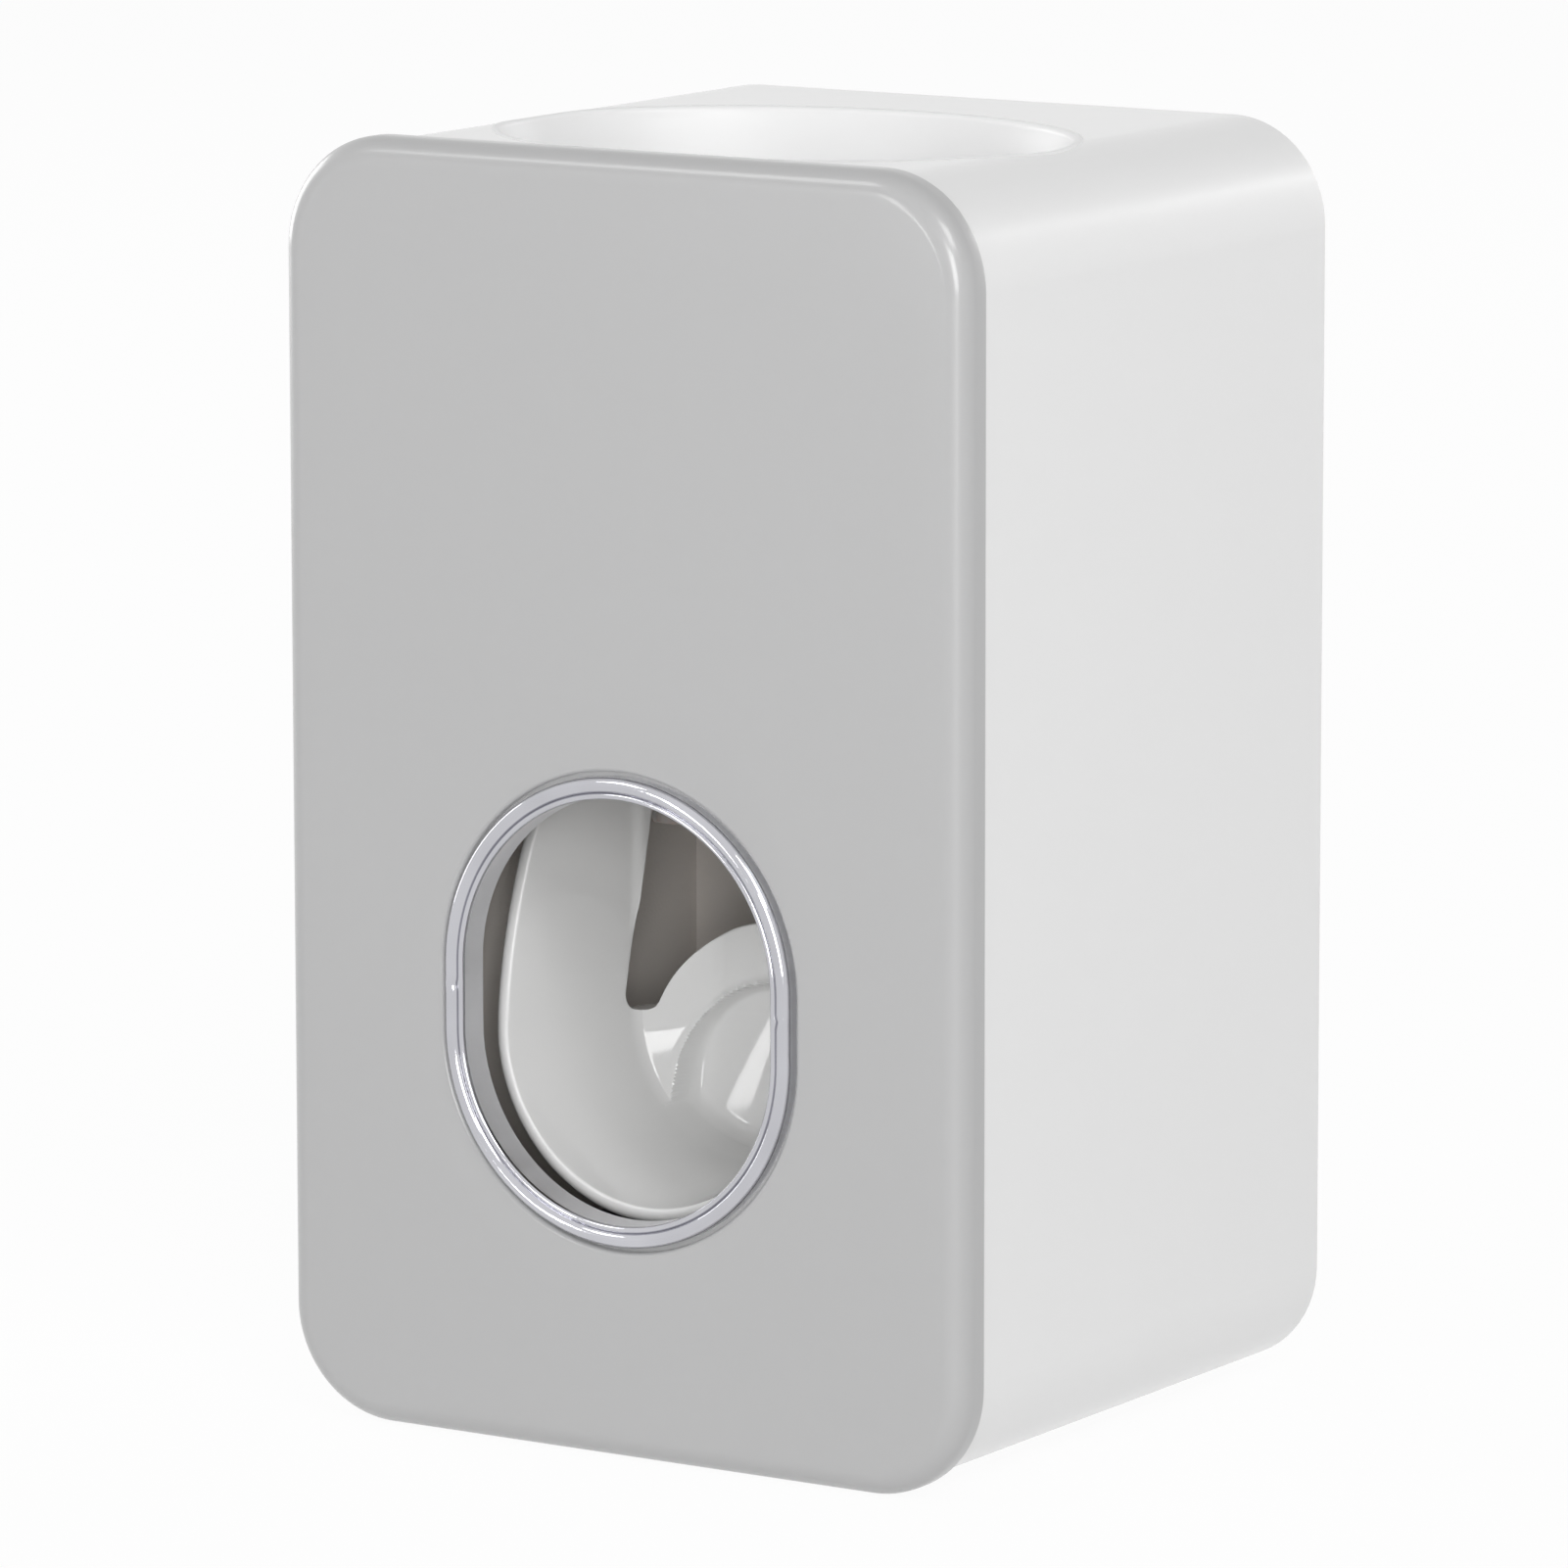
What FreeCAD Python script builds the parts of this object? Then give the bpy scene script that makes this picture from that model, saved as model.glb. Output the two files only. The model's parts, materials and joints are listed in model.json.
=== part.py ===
# Toothpaste dispenser: a wall plate, a housing hung on it, a push lever with a
# plunger pump under a tube well, and a pull-off front cover with a bright ring.
#
# The width and the depth are worked out from the inside: round the lever comes its
# tunnel, then room, the housing's wall and the cover's overhang.
#
# Frame: millimetres, +Z up, the wall at y = 0, the front towards -Y and +X to
# the right of somebody who faces the dispenser. The origin is the middle of the
# face that lies on the wall. Depths called behind_front are measured from the
# plane of the cover's front face, towards the wall.
import FreeCAD, Part
import math
import os
import re
import Sketcher
from FreeCAD import Placement, Rotation, Vector

doc = FreeCAD.newDocument("toothpaste_dispenser")
sheet = doc.addObject("Spreadsheet::Sheet", "Sizes")

# Driving dimensions, in millimetres unless the name says otherwise.
SIZES = {
    # whole object
    "wall_gap": 0.4,
    "seat_gap": 0.3,
    "part_gap": 0.1,
    "cut_overrun": 1.0,
    "edge_match": 0.001,
    # front cover
    "cover_height": 150.0,
    "cover_corner": 13.2,
    "cover_depth": 4.6,
    "cover_wall": 2.2,
    "cover_edge_round": 2.6,
    "peg_radius": 2.5,
    "peg_length": 12.0,
    # housing shell
    "cover_overhang": 0.8,
    "shell_wall": 2.2,
    "rail_reach": 6.2,
    "rail_height": 6.5,
    "rail_setback": 3.0,
    "boss_radius": 4.8,
    "boss_merge": 0.9,
    "boss_start": 8.0,
    "boss_length": 8.0,
    # rubber grommets for the cover's pegs
    "grommet_wall": 0.65,
    # ring round the brush opening
    "ring_width": 48.0,
    "ring_straight": 7.4,
    "ring_centre_drop": 22.9,
    "ring_groove": 0.6,
    "ring_edge_round": 0.5,
    "ring_proud": 1.0,
    "ring_seat_depth": 1.2,
    "ring_bead": 2.5,
    "bead_round_share": 0.46,
    "sleeve_wall": 1.0,
    "sleeve_end": 3.8,
    "retainer_width": 2.4,
    "retainer_thick": 1.2,
    # tube well
    "well_length": 72.0,
    "well_breadth": 57.2,
    "well_behind_front": 35.5,
    "well_wall": 1.6,
    "well_floor_level": 38.0,
    "well_floor_thick": 2.0,
    "well_floor_length": 44.0,
    "well_floor_breadth": 40.0,
    "well_flange_reach": 1.2,
    "well_flange_drop": 1.3,
    "well_flange_thick": 1.8,
    "skirt_radius": 12.0,
    "skirt_wall": 1.8,
    "funnel_screw_reach": 19.0,
    "funnel_post_radius": 3.0,
    # inner frame
    "deck_level": 28.5,
    "deck_thick": 2.5,
    "deck_start": 9.0,
    "deck_rear_reach": 4.0,
    "deck_side_gap": 0.6,
    "tunnel_half_width": 28.5,
    "tunnel_wall": 2.0,
    "tunnel_end": 60.0,
    "tunnel_drop": 56.0,
    "tunnel_side_room": 6.5,
    "tunnel_rear_room": 12.9,
    "frame_screw_inset": 6.0,
    # self-tapping screws
    "screw_radius": 1.4,
    "screw_head_radius": 2.7,
    "screw_head_height": 1.6,
    "screw_slot_width": 0.8,
    "screw_slot_depth": 0.8,
    "screw_grip": 5.0,
    "screw_hole_gap": 0.1,
    # push lever
    "pivot_behind_front": 26.0,
    "pivot_level": 20.0,
    "scoop_front_behind": 5.6,
    "scoop_front_half_width": 19.3,
    "scoop_front_bottom": 46.6,
    "scoop_back_behind": 33.0,
    "scoop_back_half_width": 15.3,
    "scoop_back_bottom": 44.3,
    "scoop_wall": 2.2,
    "scoop_back_wall": 4.7,
    "scoop_back_round": 8.0,
    "rim_curve_radius": 66.0,
    "rim_curve_low": 31.0,
    "rim_curve_behind": 5.9,
    "arm_rear_behind": 31.0,
    "arm_slope_top": 2.4,
    "notch_behind": 26.0,
    "notch_level": 28.7,
    "notch_round": 2.0,
    "hump_radius": 14.5,
    "hump_top": 17.7,
    "pocket_half_width": 11.5,
    "pocket_top": 24.8,
    "pocket_depth": 2.5,
    "hub_radius": 5.0,
    "hub_inner": 13.6,
    "hub_outer": 19.8,
    "peg_drive_radius": 1.8,
    "peg_drive_inner": 5.3,
    "peg_drive_behind": 20.5,
    # pivot pin and its clip
    "pin_radius": 2.0,
    "pin_running_gap": 0.05,
    "pin_head_radius": 3.4,
    "pin_head_height": 1.2,
    "pin_overhang": 2.4,
    "pin_groove_depth": 0.5,
    "clip_radius": 3.6,
    "clip_thick": 0.8,
    "clip_mouth": 2.6,
    # plunger
    "plunger_level": 4.0,
    "plunger_head_radius": 8.7,
    "plunger_head_length": 5.0,
    "plunger_neck": 4.8,
    "plunger_rod_radius": 4.5,
    "plunger_channel": 2.2,
    "collar_radius": 7.9,
    "collar_thick": 1.4,
    "seal_wire": 0.95,
    "seal_running_gap": 0.05,
    # outlet
    "spigot_radius": 3.0,
    "spigot_length": 3.2,
    "elbow_length": 7.4,
    "outlet_radius": 3.6,
    "outlet_bore": 1.9,
    "outlet_drop": 4.9,
    "tip_radius": 3.2,
    "tip_height": 1.5,
    "tip_floor": 0.7,
    "slit_width": 0.3,
    # pump block
    "pump_bore": 9.0,
    "pump_wall": 2.5,
    "lip_thick": 1.2,
    "chamber_length": 9.4,
    "block_half_width": 10.0,
    "block_start": 22.0,
    "block_flange_half_width": 14.5,
    "block_flange_start": 20.0,
    "block_flange_end": 54.5,
    "block_flange_thick": 2.6,
    "valve_pocket_radius": 6.0,
    "valve_pocket_drop": 10.5,
    "port_radius": 1.75,
    "port_setback": 3.7,
    "pin_boss_radius": 4.4,
    "cap_ear_reach": 15.4,
    "cap_ear_half_height": 3.6,
    "cap_ear_length": 6.4,
    "cap_thick": 3.0,
    "cap_spigot_radius": 4.0,
    "cap_spigot_length": 1.6,
    "pump_screw_side": 11.0,
    "pump_screw_front": 24.5,
    "pump_screw_rear": 50.8,
    # return spring
    "spring_radius": 5.5,
    "spring_wire": 0.5,
    "spring_turns": 4,
    # inlet
    "neck_bore": 6.0,
    "sleeve_rubber": 1.9,
    "inlet_flange_radius": 10.0,
    "inlet_flange_thick": 2.0,
    "inlet_top_proud": 1.2,
    "valve_flange_thick": 1.6,
    "valve_bill_top": 3.4,
    "valve_bill_tip": 1.3,
    "valve_bill_length": 5.2,
    "valve_rubber": 0.9,
    # wall plate, its studs and its pad
    "pad_thick": 1.0,
    "pad_inset": 2.0,
    "pad_hole_radius": 5.0,
    "plate_width": 60.0,
    "plate_height": 90.0,
    "plate_thick": 3.0,
    "plate_corner": 6.0,
    "plate_screw_spacing": 60.0,
    "plate_screw_radius": 2.25,
    "plate_sink_radius": 4.2,
    "plate_sink_depth": 1.8,
    "stud_reach": 20.0,
    "stud_level": 15.0,
    "stud_neck_radius": 3.0,
    "stud_head_radius": 5.2,
    "stud_head_thick": 1.8,
    "lift_travel": 10.0,
}

for row, (alias, value) in enumerate(SIZES.items(), start=1):
    sheet.set(f"A{row}", alias)
    sheet.set(f"B{row}", str(value))
    sheet.setAlias(f"B{row}", alias)
doc.recompute()


# Formulas worked out from the driving dimensions. A formula is text that the
# sheet's names fill in, so every feature bound to one follows the sheet.
def cells(formula):
    """The formula with the sheet named before each of its aliases."""

    def named(word):
        return f"Sizes.{word.group()}" if word.group() in SIZES else word.group()

    return re.sub(r"[a-z]+(_[a-z]+)+", named, formula)


def amount(formula):
    """The formula's value, for the few places that need a plain number."""
    value = sheet.evalExpression(cells(formula))
    return float(getattr(value, "Value", value))


PLATE_FRONT = "(0 - pad_thick - plate_thick)"
PAN_BACK = f"({PLATE_FRONT} - seat_gap)"
PAN_FRONT = f"({PAN_BACK} - shell_wall)"
TUNNEL_REAR = "(tunnel_end + tunnel_wall)"
TOTAL_DEPTH = f"({TUNNEL_REAR} + tunnel_rear_room - {PAN_FRONT})"
TUNNEL_SIDE = "(tunnel_half_width + tunnel_wall)"
SHELL_HALF_WIDTH = f"({TUNNEL_SIDE} + tunnel_side_room + rail_reach + shell_wall)"
COVER_WIDTH = f"(2 * ({SHELL_HALF_WIDTH} + cover_overhang))"
RING_HEIGHT = "(ring_width + ring_straight)"


def behind(depth):
    """The Y of a depth behind the cover's front face."""
    return f"(({depth}) - {TOTAL_DEPTH})"


def bind(feature, prop, formula):
    """Ties one property of a feature to a formula of the sheet's names."""
    feature.setExpression(prop, cells(formula))


SHELL_HALF_HEIGHT = "(cover_height / 2 - cover_overhang)"
SHELL_CORNER = "(cover_corner - cover_overhang)"
SHELL_BACK = "(0 - wall_gap)"
SHELL_FRONT = behind("cover_depth + seat_gap")
RING_LEVEL = "(0 - ring_centre_drop)"
WELL_AXIS = behind("well_behind_front")
DECK_TOP = "(deck_level + deck_thick)"
WELL_UNDERSIDE = "(well_floor_level - well_floor_thick)"
PIVOT_Y = behind("pivot_behind_front")
COLLAR_FRONT = "(peg_drive_behind - peg_drive_radius - seat_gap - collar_thick)"
COLLAR_REAR = "(peg_drive_behind + peg_drive_radius + seat_gap)"
HEAD_FRONT = f"({COLLAR_REAR} + collar_thick + plunger_neck)"
HEAD_REAR = f"({HEAD_FRONT} + plunger_head_length)"
BLOCK_TOP = "(deck_level - seat_gap)"
BLOCK_BACK = f"({HEAD_REAR} + chamber_length)"
BOSS_OFFSET = f"(({SHELL_CORNER} - shell_wall + boss_merge - boss_radius) * sqrt(2) / 2)"
BOSS_X = f"({SHELL_HALF_WIDTH} - {SHELL_CORNER} + {BOSS_OFFSET})"
BOSS_Z = f"({SHELL_HALF_HEIGHT} - {SHELL_CORNER} + {BOSS_OFFSET})"
GROMMET_RADIUS = "(peg_radius + seat_gap + grommet_wall)"
RING_BEAD_WIDTH = "(ring_width - 2 * ring_groove)"
RING_BEAD_HEIGHT = f"({RING_HEIGHT} - 2 * ring_groove)"
SLEEVE_INSET = "(ring_groove + ring_bead - sleeve_wall)"
SLEEVE_WIDTH = f"(ring_width - 2 * {SLEEVE_INSET})"
SLEEVE_HEIGHT = f"({RING_HEIGHT} - 2 * {SLEEVE_INSET})"
INLET_NECK = "(neck_bore + sleeve_rubber)"
CAP_SCREW_X = "(pump_bore + pump_wall + screw_radius + part_gap)"
SEAL_RADIUS = "(pump_bore - seal_running_gap - seal_wire)"
SEAL_Y = behind(f"{HEAD_FRONT} + plunger_head_length / 2")
ELBOW_REAR = f"({COLLAR_FRONT} - part_gap)"
ELBOW_FRONT = f"({ELBOW_REAR} - elbow_length)"
OUTLET_Y = behind(f"{ELBOW_REAR} - elbow_length / 2")
OUTLET_END = "(plunger_level - outlet_drop)"
CLIP_INNER = "(hub_outer + seat_gap)"
PIN_END = f"({CLIP_INNER} + pin_overhang)"
SCREW_HOLE = "(screw_radius + screw_hole_gap)"

# Names of what repeats, each with the sign of its place.
SIDES = (("left", "-"), ("right", ""))
ENDS = (("low", "-"), ("high", ""))
CORNERS = {
    "low_left": ("-", "-"),
    "low_right": ("", "-"),
    "high_left": ("-", ""),
    "high_right": ("", ""),
}

TURN_TO = {
    "x": Rotation(Vector(0, 1, 0), 90),
    "y": Rotation(Vector(1, 0, 0), -90),
    "z": Rotation(),
}


# Shared ways of making features.
def new_body(label):
    """An empty body whose label names the sub-part."""
    body = doc.addObject("PartDesign::Body", label)
    body.Label = label
    return body


def block(body, name, low, high, cut=False):
    """A box between two corners, added to the body or cut from it."""
    kind = "PartDesign::SubtractiveBox" if cut else "PartDesign::AdditiveBox"
    box = body.newObject(kind, name)
    for axis, side, start, end in zip("xyz", ("Length", "Width", "Height"), low, high):
        bind(box, side, f"({end}) - ({start})")
        bind(box, f"Placement.Base.{axis}", start)
    return box


def rod(body, name, axis, across, start, end, radius, cut=False, far_radius=None):
    """A cylinder, or a cone with a far radius, along one axis of the frame."""
    shape = "Cylinder" if far_radius is None else "Cone"
    kind = "Subtractive" if cut else "Additive"
    feature = body.newObject(f"PartDesign::{kind}{shape}", name)
    feature.Placement = Placement(Vector(), TURN_TO[axis])
    if far_radius is None:
        bind(feature, "Radius", radius)
    else:
        bind(feature, "Radius1", radius)
        bind(feature, "Radius2", far_radius)
    bind(feature, "Height", f"({end}) - ({start})")
    bind(feature, f"Placement.Base.{axis}", start)
    for other, place in zip([a for a in "xyz" if a != axis], across):
        bind(feature, f"Placement.Base.{other}", place)
    return feature


def origin_plane(body, role):
    """One of the body's own origin planes."""
    return next(plane for plane in body.Origin.OriginFeatures if plane.Role == role)


def new_sketch(body, name, role, offset):
    """A sketch on an origin plane, moved by three formulas in its own axes."""
    sketch = body.newObject("Sketcher::SketchObject", name)
    sketch.AttachmentSupport = [(origin_plane(body, role), "")]
    sketch.MapMode = "FlatFace"
    for axis, place in zip("xyz", offset):
        bind(sketch, f"AttachmentOffset.Base.{axis}", place)
    return sketch


def constrain(sketch, kind, places, formula):
    """A driving constraint tied to a formula."""
    index = sketch.addConstraint(Sketcher.Constraint(kind, *places, amount(formula)))
    bind(sketch, f"Constraints[{index}]", formula)


def rounded_rectangle(sketch, width, height, radius):
    """Four lines and four corner arcs, centred on the sketch's origin."""
    x, y, r = amount(width) / 2, amount(height) / 2, amount(radius)
    lines = [
        Part.LineSegment(Vector(r - x, y), Vector(x - r, y)),
        Part.LineSegment(Vector(x, y - r), Vector(x, r - y)),
        Part.LineSegment(Vector(x - r, -y), Vector(r - x, -y)),
        Part.LineSegment(Vector(-x, r - y), Vector(-x, y - r)),
    ]
    centres = [Vector(x - r, y - r), Vector(x - r, r - y), Vector(r - x, r - y), Vector(r - x, y - r)]
    starts = [0, 1.5 * math.pi, math.pi, 0.5 * math.pi]
    arcs = [
        Part.ArcOfCircle(Part.Circle(centre, Vector(0, 0, 1), r), start, start + math.pi / 2)
        for centre, start in zip(centres, starts)
    ]
    sketch.addGeometry(lines + arcs, False)
    for side in range(4):
        sketch.addConstraint(Sketcher.Constraint("Tangent", side, 2, side + 4, 2))
        sketch.addConstraint(Sketcher.Constraint("Tangent", side + 4, 1, (side + 1) % 4, 1))
        sketch.addConstraint(Sketcher.Constraint("Vertical" if side % 2 else "Horizontal", side))
    for arc in (5, 6, 7):
        sketch.addConstraint(Sketcher.Constraint("Equal", 4, arc))
    sketch.addConstraint(Sketcher.Constraint("Symmetric", 4, 3, 6, 3, -1, 1))
    constrain(sketch, "DistanceX", (3, 1, 1, 2), width)
    constrain(sketch, "DistanceY", (2, 1, 0, 1), height)
    constrain(sketch, "Radius", (4,), radius)


def obround(sketch, width, height):
    """Two half circles joined by upright lines, centred on the sketch's origin."""
    r, half = amount(width) / 2, (amount(height) - amount(width)) / 2
    axis = Vector(0, 0, 1)
    sketch.addGeometry(
        [
            Part.ArcOfCircle(Part.Circle(Vector(0, half), axis, r), 0, math.pi),
            Part.ArcOfCircle(Part.Circle(Vector(0, -half), axis, r), math.pi, 2 * math.pi),
            Part.LineSegment(Vector(-r, half), Vector(-r, -half)),
            Part.LineSegment(Vector(r, -half), Vector(r, half)),
        ],
        False,
    )
    for first, second in (((0, 2), (2, 1)), ((2, 2), (1, 1)), ((1, 2), (3, 1)), ((3, 2), (0, 1))):
        sketch.addConstraint(Sketcher.Constraint("Tangent", *first, *second))
    sketch.addConstraint(Sketcher.Constraint("Vertical", 2))
    sketch.addConstraint(Sketcher.Constraint("Symmetric", 0, 3, 1, 3, -1, 1))
    constrain(sketch, "DistanceX", (2, 1, 3, 2), width)
    constrain(sketch, "DistanceY", (1, 3, 0, 3), f"({height}) - ({width})")


def oval(sketch, length, breadth):
    """An ellipse about the sketch's origin, its length along the sketch's X."""
    a, b = amount(length) / 2, amount(breadth) / 2
    sketch.addGeometry(Part.Ellipse(Vector(a, 0), Vector(0, b), Vector()), False)
    sketch.exposeInternalGeometry(0)
    sketch.addConstraint(Sketcher.Constraint("Coincident", 0, 3, -1, 1))
    sketch.addConstraint(Sketcher.Constraint("Horizontal", 1))
    constrain(sketch, "Distance", (1,), length)
    constrain(sketch, "Distance", (2,), breadth)


def front_prism(body, name, outline, sizes, rear, front, level="0", cut=False):
    """An outline seen from the front, carried from its rear Y to its front Y."""
    sketch = new_sketch(body, f"{name}_outline", "XZ_Plane", ("0", level, f"0 - ({rear})"))
    outline(sketch, *sizes)
    feature = body.newObject("PartDesign::Pocket" if cut else "PartDesign::Pad", name)
    feature.Profile = sketch
    feature.Reversed = cut
    bind(feature, "Length", f"({rear}) - ({front})")
    return feature


def top_prism(body, name, length, breadth, low, high, cut=False):
    """An oval on the well's axis, carried from a low level to a high one."""
    sketch = new_sketch(body, f"{name}_outline", "XY_Plane", ("0", WELL_AXIS, low))
    oval(sketch, length, breadth)
    feature = body.newObject("PartDesign::Pocket" if cut else "PartDesign::Pad", name)
    feature.Profile = sketch
    feature.Reversed = cut
    bind(feature, "Length", f"({high}) - ({low})")
    return feature


def round_edges(body, name, radius, chosen):
    """A fillet on the edges of the body's tip that the test picks."""
    doc.recompute()
    base = body.Tip
    numbered = enumerate(base.Shape.Edges, start=1)
    edges = [f"Edge{number}" for number, edge in numbered if chosen(edge)]
    fillet = body.newObject("PartDesign::Fillet", name)
    fillet.Base = (base, edges)
    bind(fillet, "Radius", radius)
    doc.recompute()
    return fillet


def edge_on_front(formula):
    """A test for edges that lie in the upright plane at one Y."""
    level = amount(formula)
    match = amount("edge_match")

    def chosen(edge):
        box = edge.BoundBox
        return abs(box.YMin - level) < match and abs(box.YMax - level) < match

    return chosen


def screw(body, name, across, head_level, upwards=False):
    """A pan-head screw along Z, its head's seat at one level."""
    sign = "-" if upwards else "+"
    way = "+" if upwards else "-"
    top = f"({head_level}) {sign} screw_head_height"
    seat = f"({head_level})"
    tip = f"({head_level}) {way} deck_thick {way} screw_grip"
    ends = sorted([top, seat], key=amount)
    rod(body, f"{name}_head", "z", across, ends[0], ends[1], "screw_head_radius")
    ends = sorted([seat, tip], key=amount)
    rod(body, f"{name}_shank", "z", across, ends[0], ends[1], "screw_radius")
    floor = f"({top}) {'+' if upwards else '-'} screw_slot_depth"
    beyond = f"({top}) {sign} cut_overrun"
    ends = sorted([floor, beyond], key=amount)
    low = (f"({across[0]}) - screw_head_radius", f"({across[1]}) - screw_slot_width / 2", ends[0])
    high = (f"({across[0]}) + screw_head_radius", f"({across[1]}) + screw_slot_width / 2", ends[1])
    block(body, f"{name}_slot", low, high, cut=True)


# Wall plate: screwed or stuck to the wall, with two headed studs.
def make_wall_plate():
    plate = new_body("wall_plate")
    front_prism(
        plate, "plate", rounded_rectangle, ("plate_width", "plate_height", "plate_corner"),
        "0 - pad_thick", PLATE_FRONT,
    )
    head_rear = f"({PAN_FRONT} - seat_gap)"
    for name, side in SIDES:
        across = (f"{side}stud_reach", "stud_level")
        rod(plate, f"{name}_neck", "y", across, head_rear, PLATE_FRONT, "stud_neck_radius")
        rod(
            plate, f"{name}_head", "y", across, f"{head_rear} - stud_head_thick", head_rear,
            "stud_head_radius",
        )
    for name, side in ENDS:
        across = ("0", f"{side}plate_screw_spacing / 2")
        front = f"{PLATE_FRONT} - cut_overrun"
        rod(plate, f"{name}_hole", "y", across, front, "cut_overrun", "plate_screw_radius", cut=True)
        rod(plate, f"{name}_sink", "y", across, PLATE_FRONT, f"{PLATE_FRONT} + plate_sink_depth",
            "plate_sink_radius", cut=True, far_radius="plate_screw_radius")
    return plate


# Adhesive pad behind the plate, with holes over the plate's screws.
def make_adhesive_pad():
    pad = new_body("adhesive_pad")
    sizes = ("plate_width - 2 * pad_inset", "plate_height - 2 * pad_inset", "plate_corner - pad_inset")
    front_prism(pad, "tape", rounded_rectangle, sizes, "0", "0 - pad_thick")
    for name, side in ENDS:
        across = ("0", f"{side}plate_screw_spacing / 2")
        rod(
            pad, f"{name}_hole", "y", across, "0 - pad_thick - cut_overrun", "cut_overrun",
            "pad_hole_radius", cut=True,
        )
    return pad


# Housing shell: open at the front, an oval mouth on top and a pan for the wall plate behind.
def make_housing_shell():
    shell = new_body("housing_shell")
    outer = (f"2 * {SHELL_HALF_WIDTH}", f"2 * {SHELL_HALF_HEIGHT}", SHELL_CORNER)
    inner = (
        f"2 * ({SHELL_HALF_WIDTH} - shell_wall)", f"2 * ({SHELL_HALF_HEIGHT} - shell_wall)",
        f"{SHELL_CORNER} - shell_wall",
    )
    front_prism(shell, "walls", rounded_rectangle, outer, SHELL_BACK, SHELL_FRONT)
    front_prism(
        shell, "hollow", rounded_rectangle, inner, f"{SHELL_BACK} - shell_wall",
        f"{SHELL_FRONT} - cut_overrun", cut=True,
    )
    pan_half = "(plate_width / 2 + seat_gap)"
    pan_top = "(plate_height / 2 + seat_gap)"
    pan_bottom = "(0 - plate_height / 2 - lift_travel - seat_gap)"
    block(shell, "pan", (f"0 - {pan_half} - shell_wall", PAN_FRONT, f"{pan_bottom} - shell_wall"),
          (f"{pan_half} + shell_wall", SHELL_BACK, f"{pan_top} + shell_wall"))
    block(
        shell, "pan_hollow", (f"0 - {pan_half}", PAN_BACK, pan_bottom),
        (pan_half, "cut_overrun", pan_top), cut=True,
    )
    slot = "(stud_neck_radius + seat_gap)"
    wide = "(stud_head_radius + seat_gap)"
    front = f"{PAN_FRONT} - cut_overrun"
    rear = f"{PAN_BACK} + cut_overrun / 2"
    entry = "(stud_level - lift_travel)"
    for name, side in SIDES:
        centre = f"({side}stud_reach)"
        rod(shell, f"{name}_entry", "y", (centre, entry), front, rear, wide, cut=True)
        rod(shell, f"{name}_rest", "y", (centre, "stud_level"), front, rear, slot, cut=True)
        block(
            shell, f"{name}_slot", (f"{centre} - {slot}", front, entry),
            (f"{centre} + {slot}", rear, "stud_level"), cut=True,
        )
    top_prism(
        shell, "mouth", "well_length", "well_breadth", f"{SHELL_HALF_HEIGHT} - shell_wall - cut_overrun",
        f"{SHELL_HALF_HEIGHT} + cut_overrun", cut=True,
    )
    inside = f"({SHELL_HALF_WIDTH} - shell_wall / 2)"
    for name, side in SIDES:
        edge = f"({SHELL_HALF_WIDTH} - shell_wall - rail_reach)"
        ends = (f"0 - {inside}", f"0 - {edge}") if side else (edge, inside)
        low = (ends[0], behind("deck_start + rail_setback"), f"{BLOCK_TOP} - rail_height")
        block(shell, f"{name}_rail", low, (ends[1], behind(TUNNEL_REAR), BLOCK_TOP))
        for end in ("front", "rear"):
            across = frame_screw_place(side, end)
            tip = f"{DECK_TOP} - deck_thick - screw_grip"
            rod(
                shell, f"{name}_{end}_pilot", "z", across, f"{tip} - seat_gap",
                f"{BLOCK_TOP} + cut_overrun", SCREW_HOLE, cut=True,
            )
    for name, (x_sign, z_sign) in CORNERS.items():
        across = (f"{x_sign}{BOSS_X}", f"{z_sign}{BOSS_Z}")
        rod(
            shell, f"{name}_boss", "y", across, behind("boss_start"), behind("boss_start + boss_length"),
            "boss_radius",
        )
        rod(
            shell, f"{name}_bore", "y", across, behind("boss_start - cut_overrun"),
            behind("boss_start + boss_length + cut_overrun"), f"{GROMMET_RADIUS} + part_gap", cut=True,
        )
    return shell


def frame_screw_place(side, end):
    """X and Y of one of the four screws that hold the inner frame's deck."""
    centre = f"({SHELL_HALF_WIDTH} - shell_wall - rail_reach / 2)"
    x = f"(0 - {centre})" if side else centre
    front = "deck_start + rail_setback + frame_screw_inset"
    rear = f"{TUNNEL_REAR} - frame_screw_inset"
    depth = front if end == "front" else rear
    return x, behind(depth)


# Rubber grommets in the corner bosses.
def make_peg_grommets():
    grommets = new_body("peg_grommets")
    for name, (x_sign, z_sign) in CORNERS.items():
        across = (f"{x_sign}{BOSS_X}", f"{z_sign}{BOSS_Z}")
        start, end = behind("boss_start"), behind("boss_start + boss_length")
        rod(grommets, f"{name}_sleeve", "y", across, start, end, GROMMET_RADIUS)
        rod(
            grommets, f"{name}_bore", "y", across, f"{start} - cut_overrun", f"{end} + cut_overrun",
            "peg_radius + seat_gap", cut=True,
        )
    return grommets


# Front cover: a shallow tray with a soft front edge, a stepped hole for the ring and four pegs.
def ring_seat_edge(edge):
    """True for the edge of the ring's seat in the cover's front face."""
    on_face = edge_on_front(behind("0"))
    reach = max(abs(edge.BoundBox.XMin), abs(edge.BoundBox.XMax))
    return on_face(edge) and reach < amount("ring_width / 2 + cut_overrun")


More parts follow.
